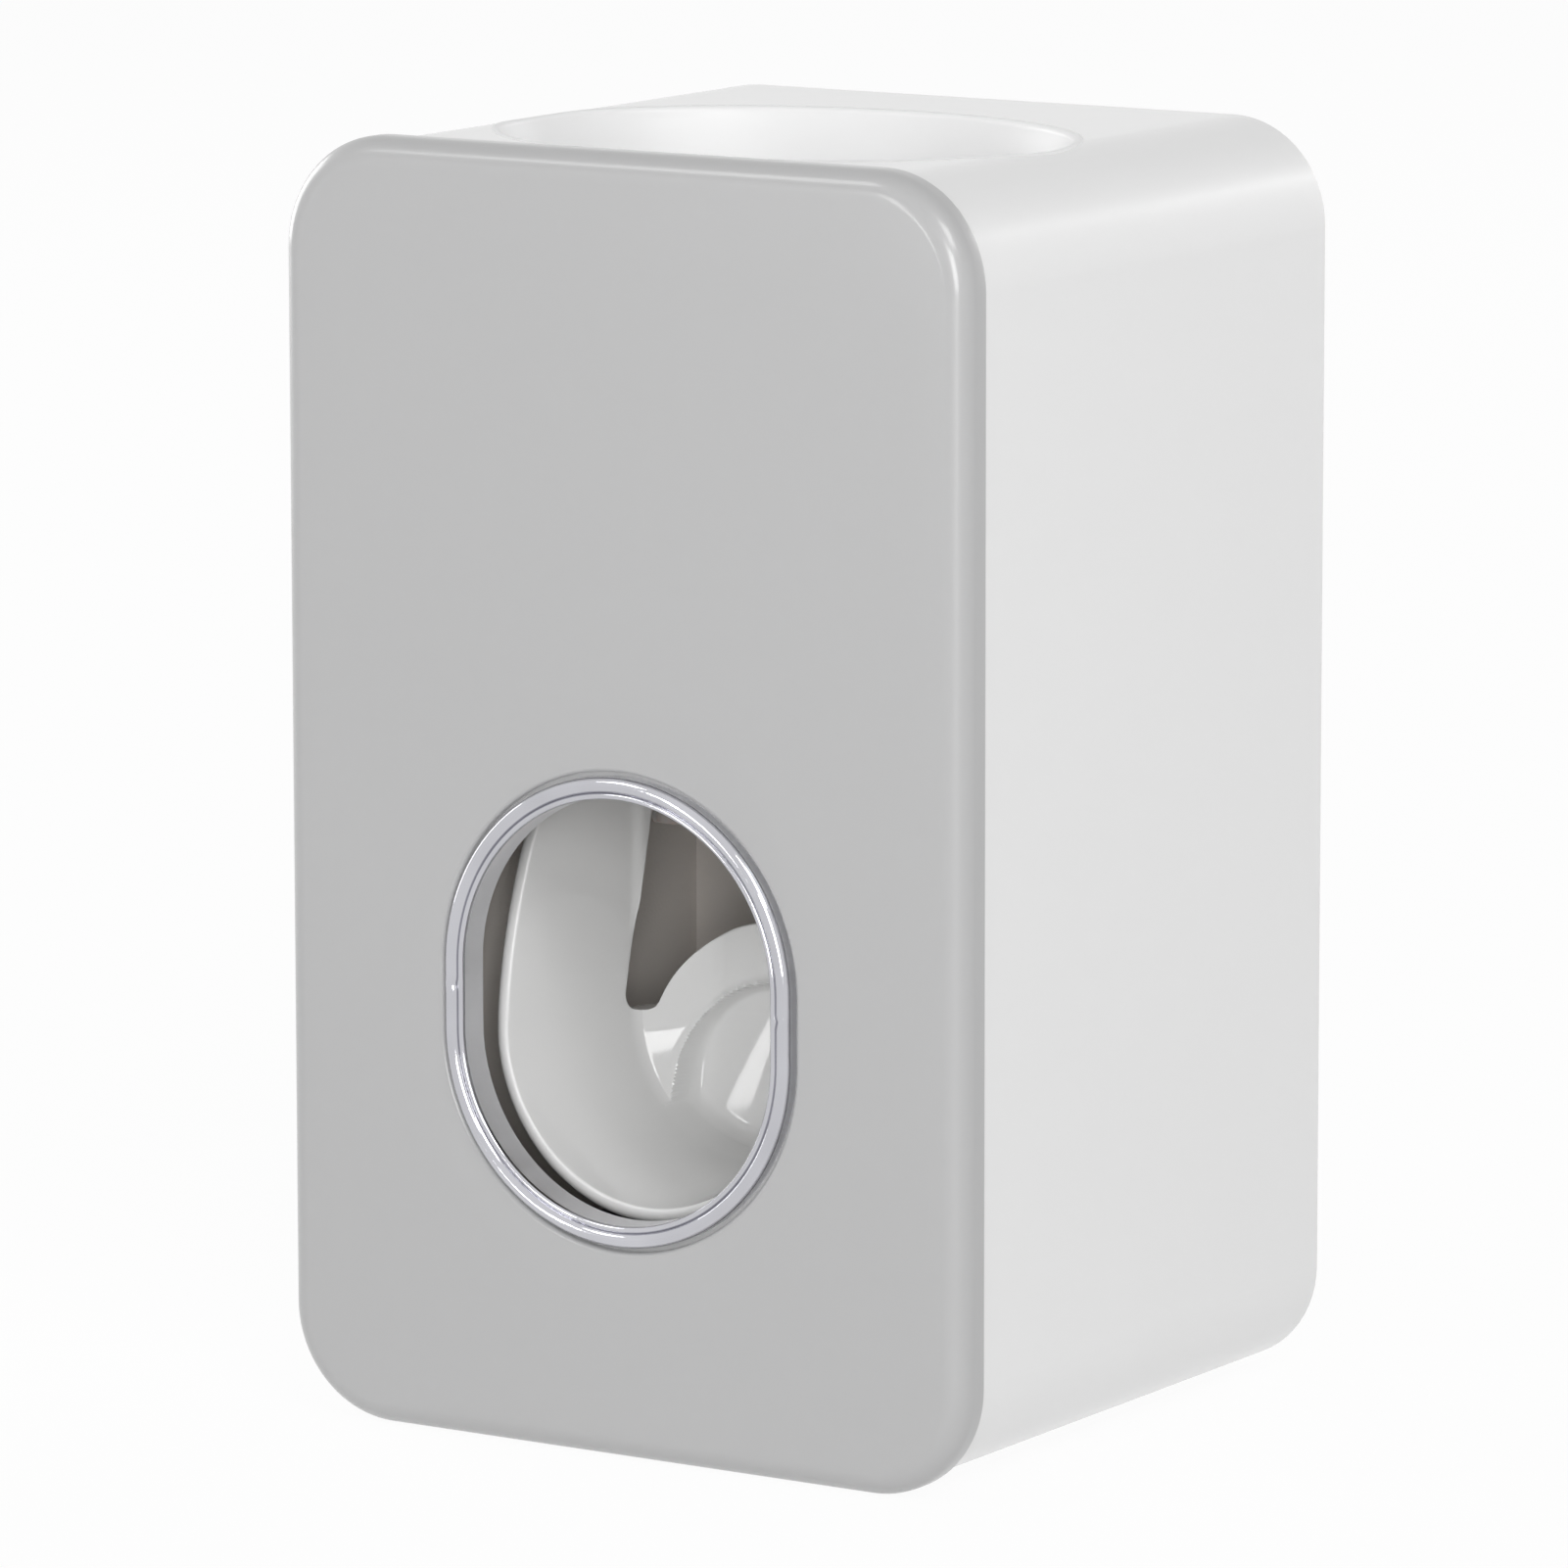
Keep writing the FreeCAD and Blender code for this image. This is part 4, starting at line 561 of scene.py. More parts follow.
def on_trough(s, depth, inset):
    """(x, depth, z) of the U at a depth, moved inwards by inset."""
    centre = centre_level(depth)
    radius = half_width(depth) - inset
    angle = np.clip(s, -1, 1) * math.pi / 2
    climb = np.maximum(np.abs(s) - 1, 0)
    x = radius * np.sin(angle)
    z = centre - radius * np.cos(angle) + climb * (ARM_TOP - centre)
    return np.stack(np.broadcast_arrays(x, depth, z), axis=-1)


def quarter(distance, radius):
    """How far a rounding of that radius has come in: R - sqrt(R^2 - u^2), u from 0 to R."""
    u = np.clip(distance, 0, radius)
    return radius - np.sqrt(radius**2 - u**2)


def rim_depth(level):
    """The rim seen from the side: upright below, a large circle above."""
    return RIM_DEPTH + quarter(level - RIM_LOW, RIM_RADIUS)


def rear_depth(height):
    """The arms' rear edge by the height above the notch: a slanting line with a rounded foot."""
    slope = (ARM_REAR - NOTCH_FRONT) / (ARM_SLOPE_TOP - NOTCH_LEVEL)
    line = np.minimum(NOTCH_FRONT + slope * height, ARM_REAR)
    return line + quarter(NOTCH_ROUND - height, NOTCH_ROUND)


def rounding(depth):
    """How far the crease between wall and back has come inwards at a depth."""
    return quarter(np.minimum(depth, notch_rear) - CREASE_START, CREASE_ROUND)


print("half width at the back:", round(half_width(LEVER_BACK) / MM, 1), "mm")

# %% [markdown]
# One patch holds both side walls and the bottom, from the rim back to the arms' rear
# edges. The depth of the rim depends on the level, and the level on the depth, so the
# two are worked out in turn until they settle.

# %% Lever walls
SIDE_COLUMNS = 60
TURN_COLUMNS = 241
WALL_ROWS = 34
CREASE_ROWS = 8
BAND_ROWS = 26
ROUND_ROWS = 12
FLAT_ROWS = 48
CORNER_ROWS = 10
HUMP_ROWS = 24
HUMP_STEP = 0.3
SETTLE_TURNS = 8
LAST_STEP = 0.04
FIRST_STEPS = (0.04, 0.13)
climbs = 1 + np.linspace(0, 1, SIDE_COLUMNS) ** 2
lower = np.linspace(-1, 1, TURN_COLUMNS)
columns = np.concatenate([-climbs[::-1], lower[1:-1], climbs])
first, last = SIDE_COLUMNS - 1, len(columns) - SIDE_COLUMNS


def wall_patch(outer):
    """Rows from the rim back to the arms' rear edge and to the foot of the notch."""
    inner_shares = np.linspace(FIRST_STEPS[outer], 1 - LAST_STEP, WALL_ROWS - 2)
    shares = np.concatenate([[0], inner_shares, [1]])[:, None]
    start = np.full(len(columns), LEVER_FRONT)
    end = np.full(len(columns), notch_rear)
    for _ in range(SETTLE_TURNS):
        inset = -LEVER_WALL if outer else rounding(start)
        start = rim_depth(on_trough(columns, start, inset)[..., 2])
        end = rear_depth((np.abs(columns) - 1) * (ARM_TOP - centre_level(end)))
    end = np.where(np.abs(columns) > 1, end, notch_rear)
    start = np.minimum(start, end - OUTER_ROUND)
    depth = start + (end - start) * shares
    inset = -LEVER_WALL + 0 * depth if outer else rounding(depth)
    return on_trough(columns[None, :], depth, inset)


print("columns along the U:", len(columns))

# %% [markdown]
# On the real scoop the trough doesn't turn into its back in one round. A tight crease
# comes first, then a slanting band that catches the light as a bright patch, then a soft
# foot and the flat back. Each is a run of (depth, inset), so the four runs are put end to
# end. The outer skin has as many rows, but a plain round corner.

# %% Lever back
def back_table(outer):
    """(depth, inset) of each row: crease, slanting band, soft foot and flat back."""
    first_turn = math.asin((notch_rear - CREASE_START) / CREASE_ROUND)
    turn = np.linspace(first_turn, BAND_SLOPE, CREASE_ROWS)
    crease = CREASE_START + CREASE_ROUND * np.sin(turn), CREASE_ROUND * (1 - np.cos(turn))
    turn = np.linspace(BAND_SLOPE, math.pi / 2, ROUND_ROWS)
    foot_start = LEVER_BACK - BAND_ROUND * (1 - math.sin(BAND_SLOPE))
    band = (foot_start - crease[0][-1]) / math.cos(BAND_SLOPE)
    reach = crease[1][-1] + band * math.sin(BAND_SLOPE) + BAND_ROUND * math.cos(BAND_SLOPE)
    foot = LEVER_BACK - BAND_ROUND * (1 - np.sin(turn)), reach - BAND_ROUND * np.cos(turn)
    along = np.linspace(0, 1, BAND_ROWS + 2)[1:-1]
    slanted = [near[-1] + (far[0] - near[-1]) * along for near, far in zip(crease, foot)]
    flat = np.linspace(reach, half_width(LEVER_BACK), FLAT_ROWS)[1:]
    depth = np.concatenate([crease[0], slanted[0], foot[0], np.full(len(flat), LEVER_BACK)])
    inset = np.concatenate([crease[1], slanted[1], foot[1], flat])
    if not outer:
        return depth, inset
    reach = half_width(depth) - inset
    depth, inset = np.full(len(depth), OUTER_BACK), half_width(OUTER_BACK) - reach
    middle = (OUTER_BACK - OUTER_ROUND, OUTER_ROUND - LEVER_WALL)
    corner = arc(middle, OUTER_ROUND, 270, 360, CORNER_ROWS - 1)
    depth[0], inset[0] = notch_rear, -LEVER_WALL
    depth[1:CORNER_ROWS], inset[1:CORNER_ROWS] = corner[:, 0], corner[:, 1]
    return depth, inset


print("rows of the back:", len(back_table(False)[0]))

# %% [markdown]
# The back has an arched recess with a bowl-shaped floor and a fine lip round it, and
# above it a hump between the two notches. The recess could be sculpted or cut with a
# Boolean. Here it only moves the points of the skin back and forth, so that the skin
# stays one closed sheet. The hump is drawn upwards from the edge of the back.

# %% Recess and hump
def pocketed(points):
    """The inner skin with its arched recess, whose sides and foot are rounded into its floor.

    Its edge stands up as a lip, (1 - (d / w)^2)^2 high by the distance d to the arch.
    """
    x, depth, z = points[..., 0], points[..., 1], points[..., 2]
    centre = BACK_BOTTOM + BACK_HALF
    inset = BACK_HALF - np.where(z < centre, np.hypot(x, z - centre), np.abs(x))
    arch = np.where(z > POCKET_CENTRE, np.hypot(x, z - POCKET_CENTRE), np.abs(x))
    inside = POCKET_RADIUS - arch
    lip = LIP_HEIGHT * np.clip(1 - (inside / LIP_WIDTH) ** 2, 0, 1) ** 2
    lip *= np.clip((depth - notch_rear) / (LEVER_BACK - notch_rear), 0, 1)
    share = np.clip(inside / POCKET_SIDE, 0, 1)
    ridge = np.clip(share / POCKET_RIDGE, 0, 1)
    side = np.sqrt(1 - (1 - share) ** 2) * ridge * ridge * (3 - 2 * ridge)
    bowl = POCKET_BOWL * MM * (np.maximum(BACK_HALF - inset, 0) / MM) ** POCKET_POWER
    lean = POCKET_LEAN * np.maximum(centre - z, 0)
    foot = quarter(POCKET_FOOT - np.maximum(inset, 0), POCKET_FOOT)
    floor = LEVER_BACK + POCKET_DEPTH - bowl - lean - foot
    moved = np.where(inset > 0, side * np.maximum(floor - depth, 0), 0) - lip
    return np.stack([x, depth + moved, z], axis=-1)


def back_patch(outer):
    """The lower part of the back wall, with the rounding that leads into it."""
    depth, inset = back_table(outer)
    return on_trough(lower[None, :], depth[:, None], inset[:, None])


def hump_lift(x, level):
    """How high the hump stands over a level: a circle, then a round foot tangent to both."""
    x, reach = np.abs(x), HUMP_RADIUS + HUMP_ROUND
    circle = HUMP_CENTRE + np.sqrt(np.maximum(HUMP_RADIUS**2 - x**2, 0)) - level
    end = np.sqrt(reach**2 - (level + HUMP_ROUND - HUMP_CENTRE) ** 2)
    return np.where(x < end * HUMP_RADIUS / reach, circle, quarter(end - x, HUMP_ROUND))


def hump_patch(outer, side):
    """The hump: upright lines from the back patch's edge to its outline."""
    base = back_patch(outer)[:, -1 if side > 0 else 0]
    lift = hump_lift(base[:, 0], base[:, 2])
    shares = np.concatenate([np.linspace(0, 1 - HUMP_STEP, HUMP_ROWS - 1), [1]])
    grid = np.repeat(base[:, None, :], HUMP_ROWS, axis=1)
    grid[..., 2] += lift[:, None] * shares
    return grid


hump_top = pocketed(hump_patch(False, 1))[..., 2].max()
print("top of the hump at", round(hump_top / MM, 1), "mm")

# %% [markdown]
# The four patches of each skin share their seams. Merging equal points turns them into
# one sheet with one closed edge. That edge is pulled back a little, and a strip closes
# the gap: a tight round on the inner side and a wide one on the outer side, as on the
# moulded part.

# %% Lever sheet and its rounded edge
ROUND_POINTS = 7
EDGE_ROUNDS = (0.3 * MM, 1.7 * MM)
ROUND_ROOM = 0.6


def sheet(outer):
    """Merged points and faces of one skin, and its edge and the points next to it, in order."""
    wall, back = wall_patch(outer), back_patch(outer)
    patches = [wall, back, hump_patch(outer, -1), hump_patch(outer, 1)]
    if not outer:
        patches = [pocketed(patch) for patch in patches]
    sizes = [patch.shape[0] * patch.shape[1] for patch in patches]
    starts = np.cumsum([0] + sizes[:-1])
    w, b, left, right_hump = (
        start + np.arange(size).reshape(patch.shape[:2])
        for start, size, patch in zip(starts, sizes, patches)
    )
    points = np.vstack([patch.reshape(-1, 3) for patch in patches])
    points[:, 1] += front_y
    faces = np.vstack([quads(grid) for grid in (w, b, left, right_hump)])

    def chain(row, column, hump_column):
        """The edge from the left end of the rim round to its start, or the line beside it."""
        return [
            w[row], w[1:, -1 - column], w[-1 - row, last + 1:-1][::-1], right_hump[:, hump_column],
            left[::-1, hump_column][1:], w[-1 - row, 1:first][::-1], w[1:, column][::-1],
        ]

    edge, beside = (np.concatenate(chain(*picks)) for picks in ((0, 0, -1), (1, 1, -2)))
    flat = np.linalg.norm(points[edge] - points[beside], axis=1) < MERGE_STEP
    below = np.concatenate(chain(1, 1, -2)[:3] + [b[:, -2], b[::-1, 1][1:]] + chain(1, 1, -2)[5:])
    return points, faces, edge, np.where(flat, below, beside)


def lever_skin():
    """Both skins and the rounded strip between their edges."""
    skins = [sheet(False), sheet(True)]
    across = skins[1][0][skins[1][2]] - skins[0][0][skins[0][2]]
    across /= np.linalg.norm(across, axis=1, keepdims=True)
    turn = np.linspace(0, math.pi / 2, ROUND_POINTS)[:, None, None]
    strips, parts = [], []
    for (points, faces, edge, beside), sign, widest in zip(skins, (1, -1), EDGE_ROUNDS):
        out = points[edge] - points[beside]
        room = np.linalg.norm(out, axis=1, keepdims=True)
        out /= np.maximum(room, MERGE_STEP)
        radius = np.minimum(widest, ROUND_ROOM * room)
        bend = sign * across * (1 - np.cos(turn)) - out * (1 - np.sin(turn))
        strip = points[edge] + radius * bend
        place = merged(points, faces)[2]
        moved = np.zeros((place.max() + 1, 3))
        moved[place[edge]] = strip[0] - points[edge]
        points = points + moved[place]
        strip[0] = points[edge]
        parts.append((points, faces))
        strips.append(strip)
    return joined(*parts, skin(np.concatenate([strips[0], strips[1][::-1]]), wrap_columns=True))


scoop = make_piece("lever_scoop", *lever_skin(), "lever", "lever_white", ["push_lever"])

# %% [markdown]
# The arms end in hubs on the pivot pin, and two pegs inside them drive the plunger. Both
# are turned parts, like the cover's pegs, and the pin's box in the CAD gives their axis.

# %% Lever hubs and pegs
HUB_RADIUS = 5.0 * MM
HUB_BORE = 2.05 * MM
HUB_INNER = 13.6 * MM
HUB_OUTER = 19.8 * MM
HUB_EDGE = 0.4 * MM
DRIVE_RADIUS = 1.8 * MM
DRIVE_INNER = 5.3 * MM
DRIVE_DEPTH = 20.5 * MM
DRIVE_LEVEL = 4.0 * MM
pin_low, pin_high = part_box("pivot_pin")
pin_y, pin_z = (pin_low.y + pin_high.y) / 2, (pin_low.z + pin_high.z) / 2
hub_section = np.array([
    (HUB_INNER, HUB_BORE), (HUB_INNER, HUB_RADIUS - HUB_EDGE), (HUB_INNER + HUB_EDGE, HUB_RADIUS),
    (HUB_OUTER - HUB_EDGE, HUB_RADIUS), (HUB_OUTER, HUB_RADIUS - HUB_EDGE), (HUB_OUTER, HUB_BORE),
    (HUB_INNER, HUB_BORE),
])
drive_reach = half_width(DRIVE_DEPTH) + LEVER_WALL / 2
drive_section = np.array([
    (DRIVE_INNER, 0), (DRIVE_INNER, DRIVE_RADIUS - HUB_EDGE),
    (DRIVE_INNER + HUB_EDGE, DRIVE_RADIUS), (drive_reach, DRIVE_RADIUS), (drive_reach, 0),
])
drive_axis = (front_y + DRIVE_DEPTH, DRIVE_LEVEL)
hubs = [turned(hub_section * (side, 1), (pin_y, pin_z), 0) for side in (-1, 1)]
hubs += [turned(drive_section * (side, 1), drive_axis, 0) for side in (-1, 1)]
lever_hubs = make_piece("lever_hubs", *joined(*hubs), "lever", "lever_white", ["push_lever"])

# %% [markdown]
# ## The return spring
# A coil spring between the plunger and the cylinder's cap pushes everything forward
# again. It gets shorter as the plunger comes back; here it gets a mesh of its own, and
# its length when pushed is worked out.

# %% Return spring
spring_low, spring_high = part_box("return_spring")
WIRE_RADIUS = 0.5 * MM
SPRING_TURNS = 5
SPRING_ROWS = 400
WIRE_POINTS = 12
SPRING_EASE = 8
STROKE = 4.5 * MM
coil_radius = (spring_high.x - spring_low.x) / 2 - WIRE_RADIUS
spring_z = (spring_low.z + spring_high.z) / 2
spring_length = spring_high.y - spring_low.y


def spring_coil():
    """A wire along (R cos a, y, R sin a), y rising as s - sin(2 pi s) / 8, slow at its ends."""
    s = np.linspace(0, 1, SPRING_ROWS)[:, None]
    angle = 2 * math.pi * SPRING_TURNS * s
    rise = s - np.sin(2 * math.pi * s) / SPRING_EASE
    y = spring_low.y + WIRE_RADIUS + (spring_length - 2 * WIRE_RADIUS) * rise
    around = np.linspace(0, 2 * math.pi, WIRE_POINTS, endpoint=False)[None, :]
    wire = np.full((SPRING_ROWS, 1), WIRE_RADIUS)
    wire[[0, -1]] = 0
    radius = coil_radius + wire * np.cos(around)
    x, z = radius * np.cos(angle), spring_z + radius * np.sin(angle)
    return skin(np.stack([x, y + wire * np.sin(around), z], axis=-1), wrap_columns=True)


spring = make_piece("return_coil", *spring_coil(), "housing", "steel", ["return_spring"])
keep = (spring_length - STROKE) / spring_length
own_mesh(spring)
lengths = [round(length / MM, 1) for length in (spring_length, spring_length * keep)]
print("spring's length in mm, at rest and pushed:", lengths)

# %% [markdown]
# ## Shader maths
# A material is a graph of nodes. This small class wraps a socket, so that an expression
# such as noise * 0.1 + 0.3 adds the Math nodes itself. Every other node comes from one
# method that takes its type, its settings and what goes into its sockets. The Mix node
# has a set of sockets for each kind of value. Counted from nought, its colours are
# inputs 6 and 7 and output 2.

# %% Shader helpers
MIX_LOW, MIX_HIGH, MIX_RESULT = 6, 7, 2


class Link:
    """An output socket with the arithmetic of Math nodes."""

    def __init__(self, graph, socket):
        self.graph, self.socket = graph, socket

    def maths(self, operation, *values):
        return self.graph.node("ShaderNodeMath", {"operation": operation}, dict(enumerate(values)))

    def __add__(self, other):
        return self.maths("ADD", self, other)

    def __sub__(self, other):
        return self.maths("SUBTRACT", self, other)

    def __mul__(self, other):
        return self.maths("MULTIPLY", self, other)


class Graph:
    """A tree of shader nodes, with one method that adds any node."""

    def __init__(self, tree):
        self.tree = tree

    def node(self, kind, settings, sockets, output=0):
        """A node with its settings, then its sockets by name or number, as values or links."""
        node = self.tree.nodes.new(kind)
        for key, value in settings.items():
            setattr(node, key, value)
        for key, value in sockets.items():
            self.connect(node.inputs[key], value)
        return Link(self, node.outputs[output]) if node.outputs else None

    def connect(self, socket, value):
        if isinstance(value, Link):
            self.tree.links.new(value.socket, socket)
        else:
            socket.default_value = value


class Finish(Graph):
    """One material: its Principled shader and the nodes that feed it."""

    def __init__(self, name, **sockets):
        self.material = bpy.data.materials.new(name)
        self.material.use_nodes = True
        super().__init__(self.material.node_tree)
        self.shader = self.tree.nodes["Principled BSDF"]
        self.place = self.node("ShaderNodeTexCoord", {}, {}, "Object")
        self.feed(**sockets)

    def feed(self, **sockets):
        """Sets or links sockets of the shader, whose names are written with underscores."""
        for key, value in sockets.items():
            socket = key.replace("_", " ").title().replace("Ior", "IOR")
            self.connect(self.shader.inputs[socket], value)

    def noise(self, scale, detail=2.0, place=None):
        """Noise from 0 to 1, its scale in bumps per metre."""
        sockets = {"Vector": place or self.place, "Scale": scale, "Detail": detail}
        return self.node("ShaderNodeTexNoise", {}, sockets)

    def stretched(self, x, y, z):
        """Object coordinates with each axis scaled, for grain that runs one way."""
        return self.node("ShaderNodeMapping", {}, {"Vector": self.place, "Scale": (x, y, z)})

    def blend(self, share, low, high):
        """A colour between two, each a link or three numbers, by a share."""
        low, high = (c if isinstance(c, Link) else (*c, 1) for c in (low, high))
        sockets = {"Factor": share, MIX_LOW: low, MIX_HIGH: high}
        return self.node("ShaderNodeMix", {"data_type": "RGBA"}, sockets, MIX_RESULT)

    def relief(self, height, depth):
        """A bump whose height is in metres."""
        self.feed(normal=self.node("ShaderNodeBump", {}, {"Height": height, "Distance": depth}))


print("operators that add Math nodes:", "+", "-", "*")

# %% [markdown]
# ## Finishes
# Moulded plastic isn't one flat colour. Its gloss wavers a little where the mould was
# polished, and the skin has a very faint orange peel. The cover is satin grey with a
# thin gloss over it, and the housing is white with a soft gloss. The scoop is polished,
# so that it mirrors the lamps sharply. The well is a little duller, and whiter than the
# housing: that extra white is painted light for the light on its inner wall. What lies
# behind is a matte warm grey. The slow noise is the colour's, the quicker cloud is the
# gloss's and the finest one is the skin's.

# %% Plastics
COLOUR_SCALE = 14.0
GLOSS_SCALE = 60.0
MICRON = 0.000001


def plastic(name, colour, spread, gloss, peel, **sockets):
    """A moulded plastic, by its colour and the share it varies by.

    Gloss is (roughness, how far it wavers). Peel is (bumps per metre, depth in microns).
    """
    finish = Finish(name, **sockets)
    slow = finish.noise(COLOUR_SCALE)
    low = tuple(c * (1 - spread) for c in colour)
    high = tuple(min(c * (1 + spread), 1.0) for c in colour)
    finish.feed(base_color=finish.blend(slow, low, high))
    cloud = finish.noise(GLOSS_SCALE, 4.0)
    finish.feed(roughness=(cloud - 0.5) * gloss[1] + gloss[0])
    finish.relief(finish.noise(peel[0], 3.0), peel[1] * MICRON)
    return finish


finishes = {
    "cover_grey": plastic(
        "satin_grey", (0.435, 0.435, 0.437), 0.008, (0.30, 0.05), (900.0, 4),
        coat_weight=0.35, coat_roughness=0.12,
    ),
    "housing_white": plastic(
        "gloss_white", (0.80, 0.80, 0.80), 0.006, (0.22, 0.05), (700.0, 4),
        coat_weight=0.5, coat_roughness=0.30,
    ),
    "lever_white": plastic(
        "scoop_white", (0.72, 0.72, 0.715), 0.006, (0.05, 0.02), (500.0, 2),
        specular_ior_level=0.38,
    ),
    "frame_taupe": plastic(
        "matte_warm_grey", (0.74, 0.70, 0.66), 0.04, (0.62, 0.12), (2600.0, 30),
    ),
    "pump_plastic": plastic(
        "pump_grey", (0.62, 0.58, 0.545), 0.03, (0.42, 0.12), (1800.0, 10),
    ),
    "plate_plastic": plastic(
        "matte_white", (0.68, 0.68, 0.68), 0.02, (0.50, 0.10), (2400.0, 20),
    ),
}
# The well's white is lighter than the housing's: painted light for the light on its inner wall.
well_white_painted_light = plastic("well_white_painted_light", (0.92, 0.92, 0.92), 0.006, (0.42, 0.06), (700.0, 4))
print("plastics:", ", ".join([*finishes, "well_white_painted_light"]))

# %% [markdown]
# Plated plastic mirrors its surroundings, but never as evenly as polished metal: the
# plating follows small waves of the mould. Inside the ring's sleeve it is duller, with
# fine streaks along it, and lighter in colour: that lighter colour is painted light for
# the light the sleeve catches. A share that is one behind the main bead and nought in
# front of it chooses between the two. Screws, pin, clip and spring are zinc plated or
# drawn steel, with fine lines along them.

# %% Metals
chrome = Finish("plated_bright", metallic=1.0)
behind = chrome.node("ShaderNodeSeparateXYZ", {}, {0: chrome.place}, "Y")
in_sleeve = behind.maths("GREATER_THAN", behind, ring_low.y + MAIN_BEAD)
plating = chrome.blend(chrome.noise(90.0), (0.47, 0.47, 0.50), (0.62, 0.62, 0.66))
# Behind the main bead the plating is lighter: painted light for the light the sleeve catches.
chrome.feed(base_color=chrome.blend(in_sleeve, plating, (0.84, 0.84, 0.86)))
streaks = chrome.noise(900.0, 3.0, chrome.stretched(1.0, 0.08, 1.0)) * 0.2 + 0.3
chrome.feed(roughness=in_sleeve * streaks + chrome.noise(400.0, 4.0) * 0.06 + 0.05)
chrome.relief(chrome.noise(260.0, 3.0), 60 * MICRON)
finishes["chrome"] = chrome

steel = Finish("zinc_steel", metallic=1.0)
lines = steel.noise(3000.0, 4.0, steel.stretched(1.0, 0.05, 0.05))
spots = steel.noise(180.0, 4.0)
steel.feed(base_color=steel.blend(spots, (0.46, 0.46, 0.47), (0.66, 0.66, 0.68)))
steel.feed(roughness=lines * 0.25 + 0.20)
steel.relief(lines, 10 * MICRON)
finishes["steel"] = steel
print("metals:", chrome.material.name, "and", steel.material.name)

# %% [markdown]
# The soft pieces are translucent silicone, black rubber and foam tape. The sleeve and the
# inner valve are clear silicone. The valve at the outlet is dark grey, which is painted
# shade: a bright one would stand out at the top of the opening, where the inside lies
# in shade. Foam shows its cells, which a Voronoi pattern gives, and the rubber has a
# fine bloom.

# %% Soft materials
def soft_silicone(name, low, high):
    """A silicone that lets a little light in: its colour, gloss and skin vary finely."""
    silicone = Finish(name, subsurface_weight=0.25, subsurface_scale=0.002)
    silicone.feed(base_color=silicone.blend(silicone.noise(120.0), low, high))
    silicone.feed(roughness=silicone.noise(500.0, 4.0) * 0.2 + 0.35)
    silicone.relief(silicone.noise(900.0, 3.0), 10 * MICRON)
    return silicone


finishes["silicone"] = soft_silicone("clear_silicone", (0.66, 0.66, 0.63), (0.78, 0.78, 0.76))
# Dark grey for the outlet valve: painted shade, so that it sinks into the shaded top of the
# opening.
valve_painted_shade_silicone = soft_silicone("valve_painted_shade_silicone", (0.13, 0.12, 0.11), (0.19, 0.175, 0.16))

rubber = Finish("black_rubber")
bloom = rubber.noise(350.0, 5.0)
rubber.feed(base_color=rubber.blend(bloom, (0.03, 0.03, 0.03), (0.075, 0.074, 0.072)))
rubber.feed(roughness=bloom * 0.2 + 0.6)
rubber.relief(rubber.noise(2200.0, 3.0), 20 * MICRON)
finishes["grommet_rubber"] = rubber

foam = Finish("foam_tape_finish")
cells = {"Vector": foam.place, "Scale": 1400.0}
bubbles = foam.node("ShaderNodeTexVoronoi", {}, cells, "Distance")
foam.feed(base_color=foam.blend(bubbles, (0.34, 0.34, 0.33), (0.58, 0.58, 0.56)))
foam.feed(roughness=bubbles * 0.1 + 0.8)
foam.relief(bubbles, 120 * MICRON)
finishes["foam_tape"] = foam
print("soft finishes: two silicones, rubber and foam")

# %% [markdown]
# Every CAD node that stays gets the finish of its slot in the record, and so does every
# piece made above. Only the well and the outlet valve have a finish of their own: the
# well's is whiter than the housing's, which is painted light, and the valve's dark grey
# is painted shade.

# %% Give out the finishes
slots = {row["node"]: row["material_slot"] for row in frame["record"]["subparts"]}
for name, thing in frame["nodes"].items():
    thing.data.materials.clear()
    thing.data.materials.append(finishes[slots[name]].material)
for piece in (cover, cover_pegs, bright_ring, scoop, lever_hubs, spring):
    piece.data.materials.append(finishes[piece["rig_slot"]].material)
# The well takes the whiter finish, whose extra white is painted light.
for piece in (well, well_posts):
    piece.data.materials.append(well_white_painted_light.material)
# The outlet valve gets the dark silicone, which is painted shade.
frame["nodes"]["outlet_valve"].data.materials[0] = valve_painted_shade_silicone.material
print(len(finishes), "finishes on", len(slots), "nodes")

# %% [markdown]
# ## Studio
# The photograph is a cut-out on white, lit by large soft lights. The floor is pale, and
# camera rays see it and the world as white. Mirrors and clear pieces see that white as
# well, and the floor still takes a faint shadow. The world itself gives only a little
# light, so that colours render about as they are written.

# %% Studio
FLOOR_SIZE = 6.0
FLOOR_SHOWS = 0.05
WORLD_LEVEL = 0.32


def seen_white(graph):
    """One for what the camera, a mirror or clear plastic looks at, and nought for other light."""
    kinds = ("Is Camera Ray", "Is Glossy Ray", "Is Transmission Ray")
    camera_ray, glossy_ray, clear_ray = (
        graph.node("ShaderNodeLightPath", {}, {}, kind) for kind in kinds
    )
    direct = camera_ray.maths("MAXIMUM", camera_ray, glossy_ray)
    return direct.maths("MAXIMUM", direct, clear_ray)


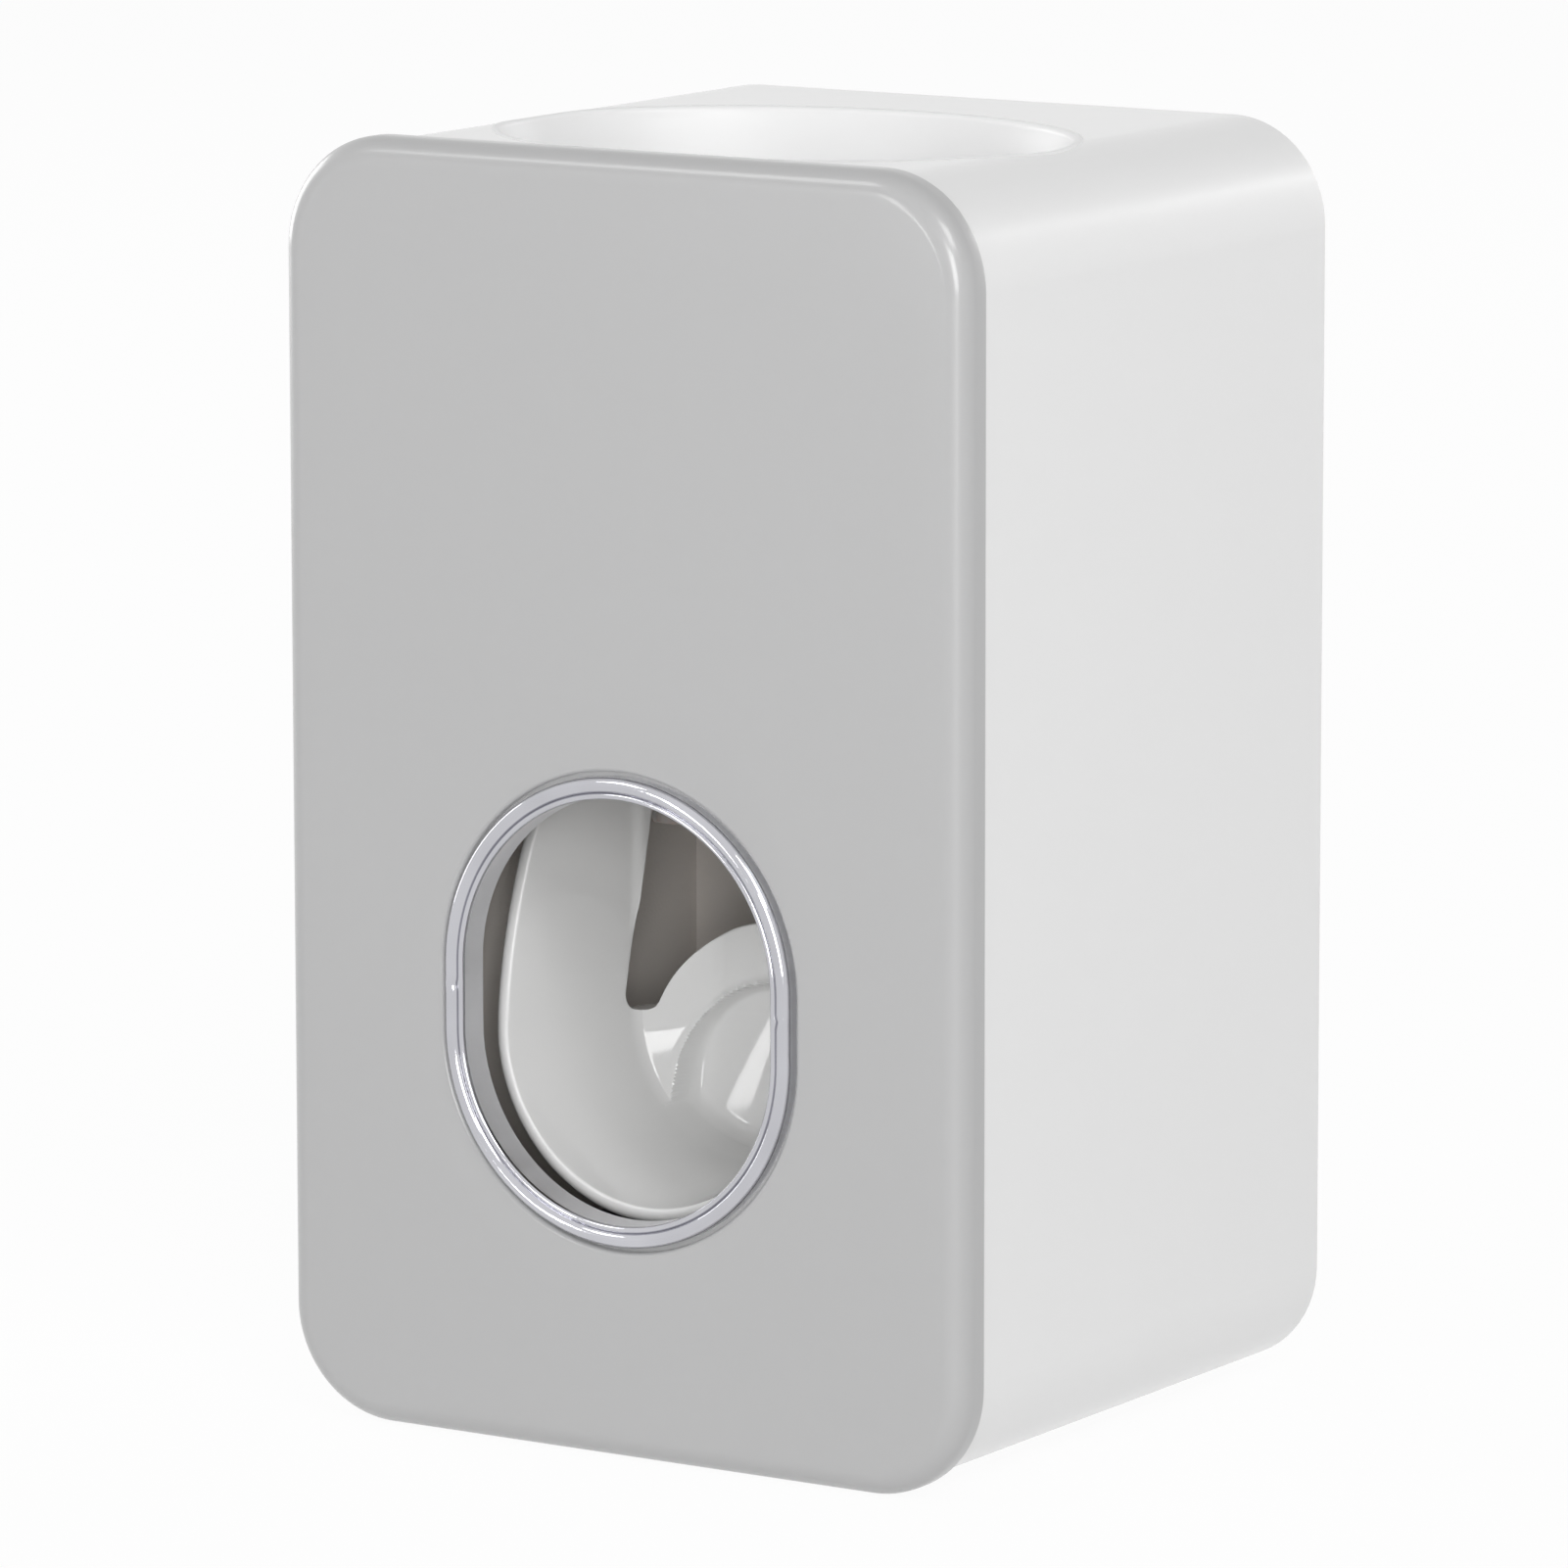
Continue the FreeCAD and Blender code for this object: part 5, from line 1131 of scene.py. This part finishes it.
half, ground = FLOOR_SIZE / 2, cad_low.z
corners = [(x * half, y * half, ground) for x, y in ((-1, -1), (1, -1), (1, 1), (-1, 1))]
floor_mesh = bpy.data.meshes.new("floor")
floor_mesh.from_pydata(corners, [], [(0, 1, 2, 3)])
floor = bpy.data.objects.new("floor", floor_mesh)
bpy.context.scene.collection.objects.link(floor)
floor_finish = Finish("pale_floor", base_color=(0.9, 0.9, 0.9, 1), roughness=0.9)
glow = floor_finish.node("ShaderNodeEmission", {}, {})
own = Link(floor_finish, floor_finish.shader.outputs[0])
white_share = seen_white(floor_finish) * (1 - FLOOR_SHOWS)
shown = floor_finish.node("ShaderNodeMixShader", {}, {0: white_share, 1: own, 2: glow})
floor_finish.connect(floor_finish.tree.nodes["Material Output"].inputs[0], shown)
floor_mesh.materials.append(floor_finish.material)

world = bpy.data.worlds.new("world")
bpy.context.scene.world = world
world.use_nodes = True
world.node_tree.nodes.clear()
sky = Graph(world.node_tree)
light = sky.node("ShaderNodeBackground", {}, {"Color": (1, 1, 1, 1), "Strength": WORLD_LEVEL})
white = sky.node("ShaderNodeBackground", {}, {"Color": (1, 1, 1, 1), "Strength": 1.0})
shown = sky.node("ShaderNodeMixShader", {}, {0: seen_white(sky), 1: light, 2: white})
sky.node("ShaderNodeOutputWorld", {}, {"Surface": shown})
print("floor", FLOOR_SIZE, "m wide at", round(ground, 3), "m, world level", WORLD_LEVEL)

# %% [markdown]
# The lamps stand where the photograph's reflections say. The front one is near the
# camera's own direction, so that it lights the inside through the ring, and the band and
# the recess of the scoop mirror it. A narrow strip on the left draws the thin line on the
# cover's edge. Two more light the left side and the back, which the photograph hides.

# %% Lamps
middle = (cad_low + cad_high) / 2


def softbox(name, place, width, height, power):
    """A rectangular area lamp that faces the dispenser's middle."""
    lamp = bpy.data.lights.new(name, "AREA")
    lamp.shape, lamp.size, lamp.size_y, lamp.energy = "RECTANGLE", width, height, power
    box = bpy.data.objects.new(name, lamp)
    box.location = place
    box.rotation_euler = (middle - Vector(place)).to_track_quat("-Z", "Y").to_euler()
    bpy.context.scene.collection.objects.link(box)


softbox("front", (0.86, -1.36, 0.29), 0.46, 0.70, 10.0)
softbox("high right", (1.1, -0.85, 1.1), 0.6, 0.6, 7.7)
softbox("high left", (-0.75, -0.9, 1.1), 0.35, 0.35, 2.0)
softbox("left strip", (-0.62, -1.45, 0.19), 0.13, 0.60, 2.2)
softbox("left side", (-1.5, 0.2, 0.25), 0.8, 0.8, 8.5)
softbox("behind", (0.3, 1.6, 0.3), 0.8, 0.8, 5.5)
bpy.context.scene.view_settings.view_transform = "Standard"
print("lamps:", ", ".join(lamp.name for lamp in bpy.data.lights))
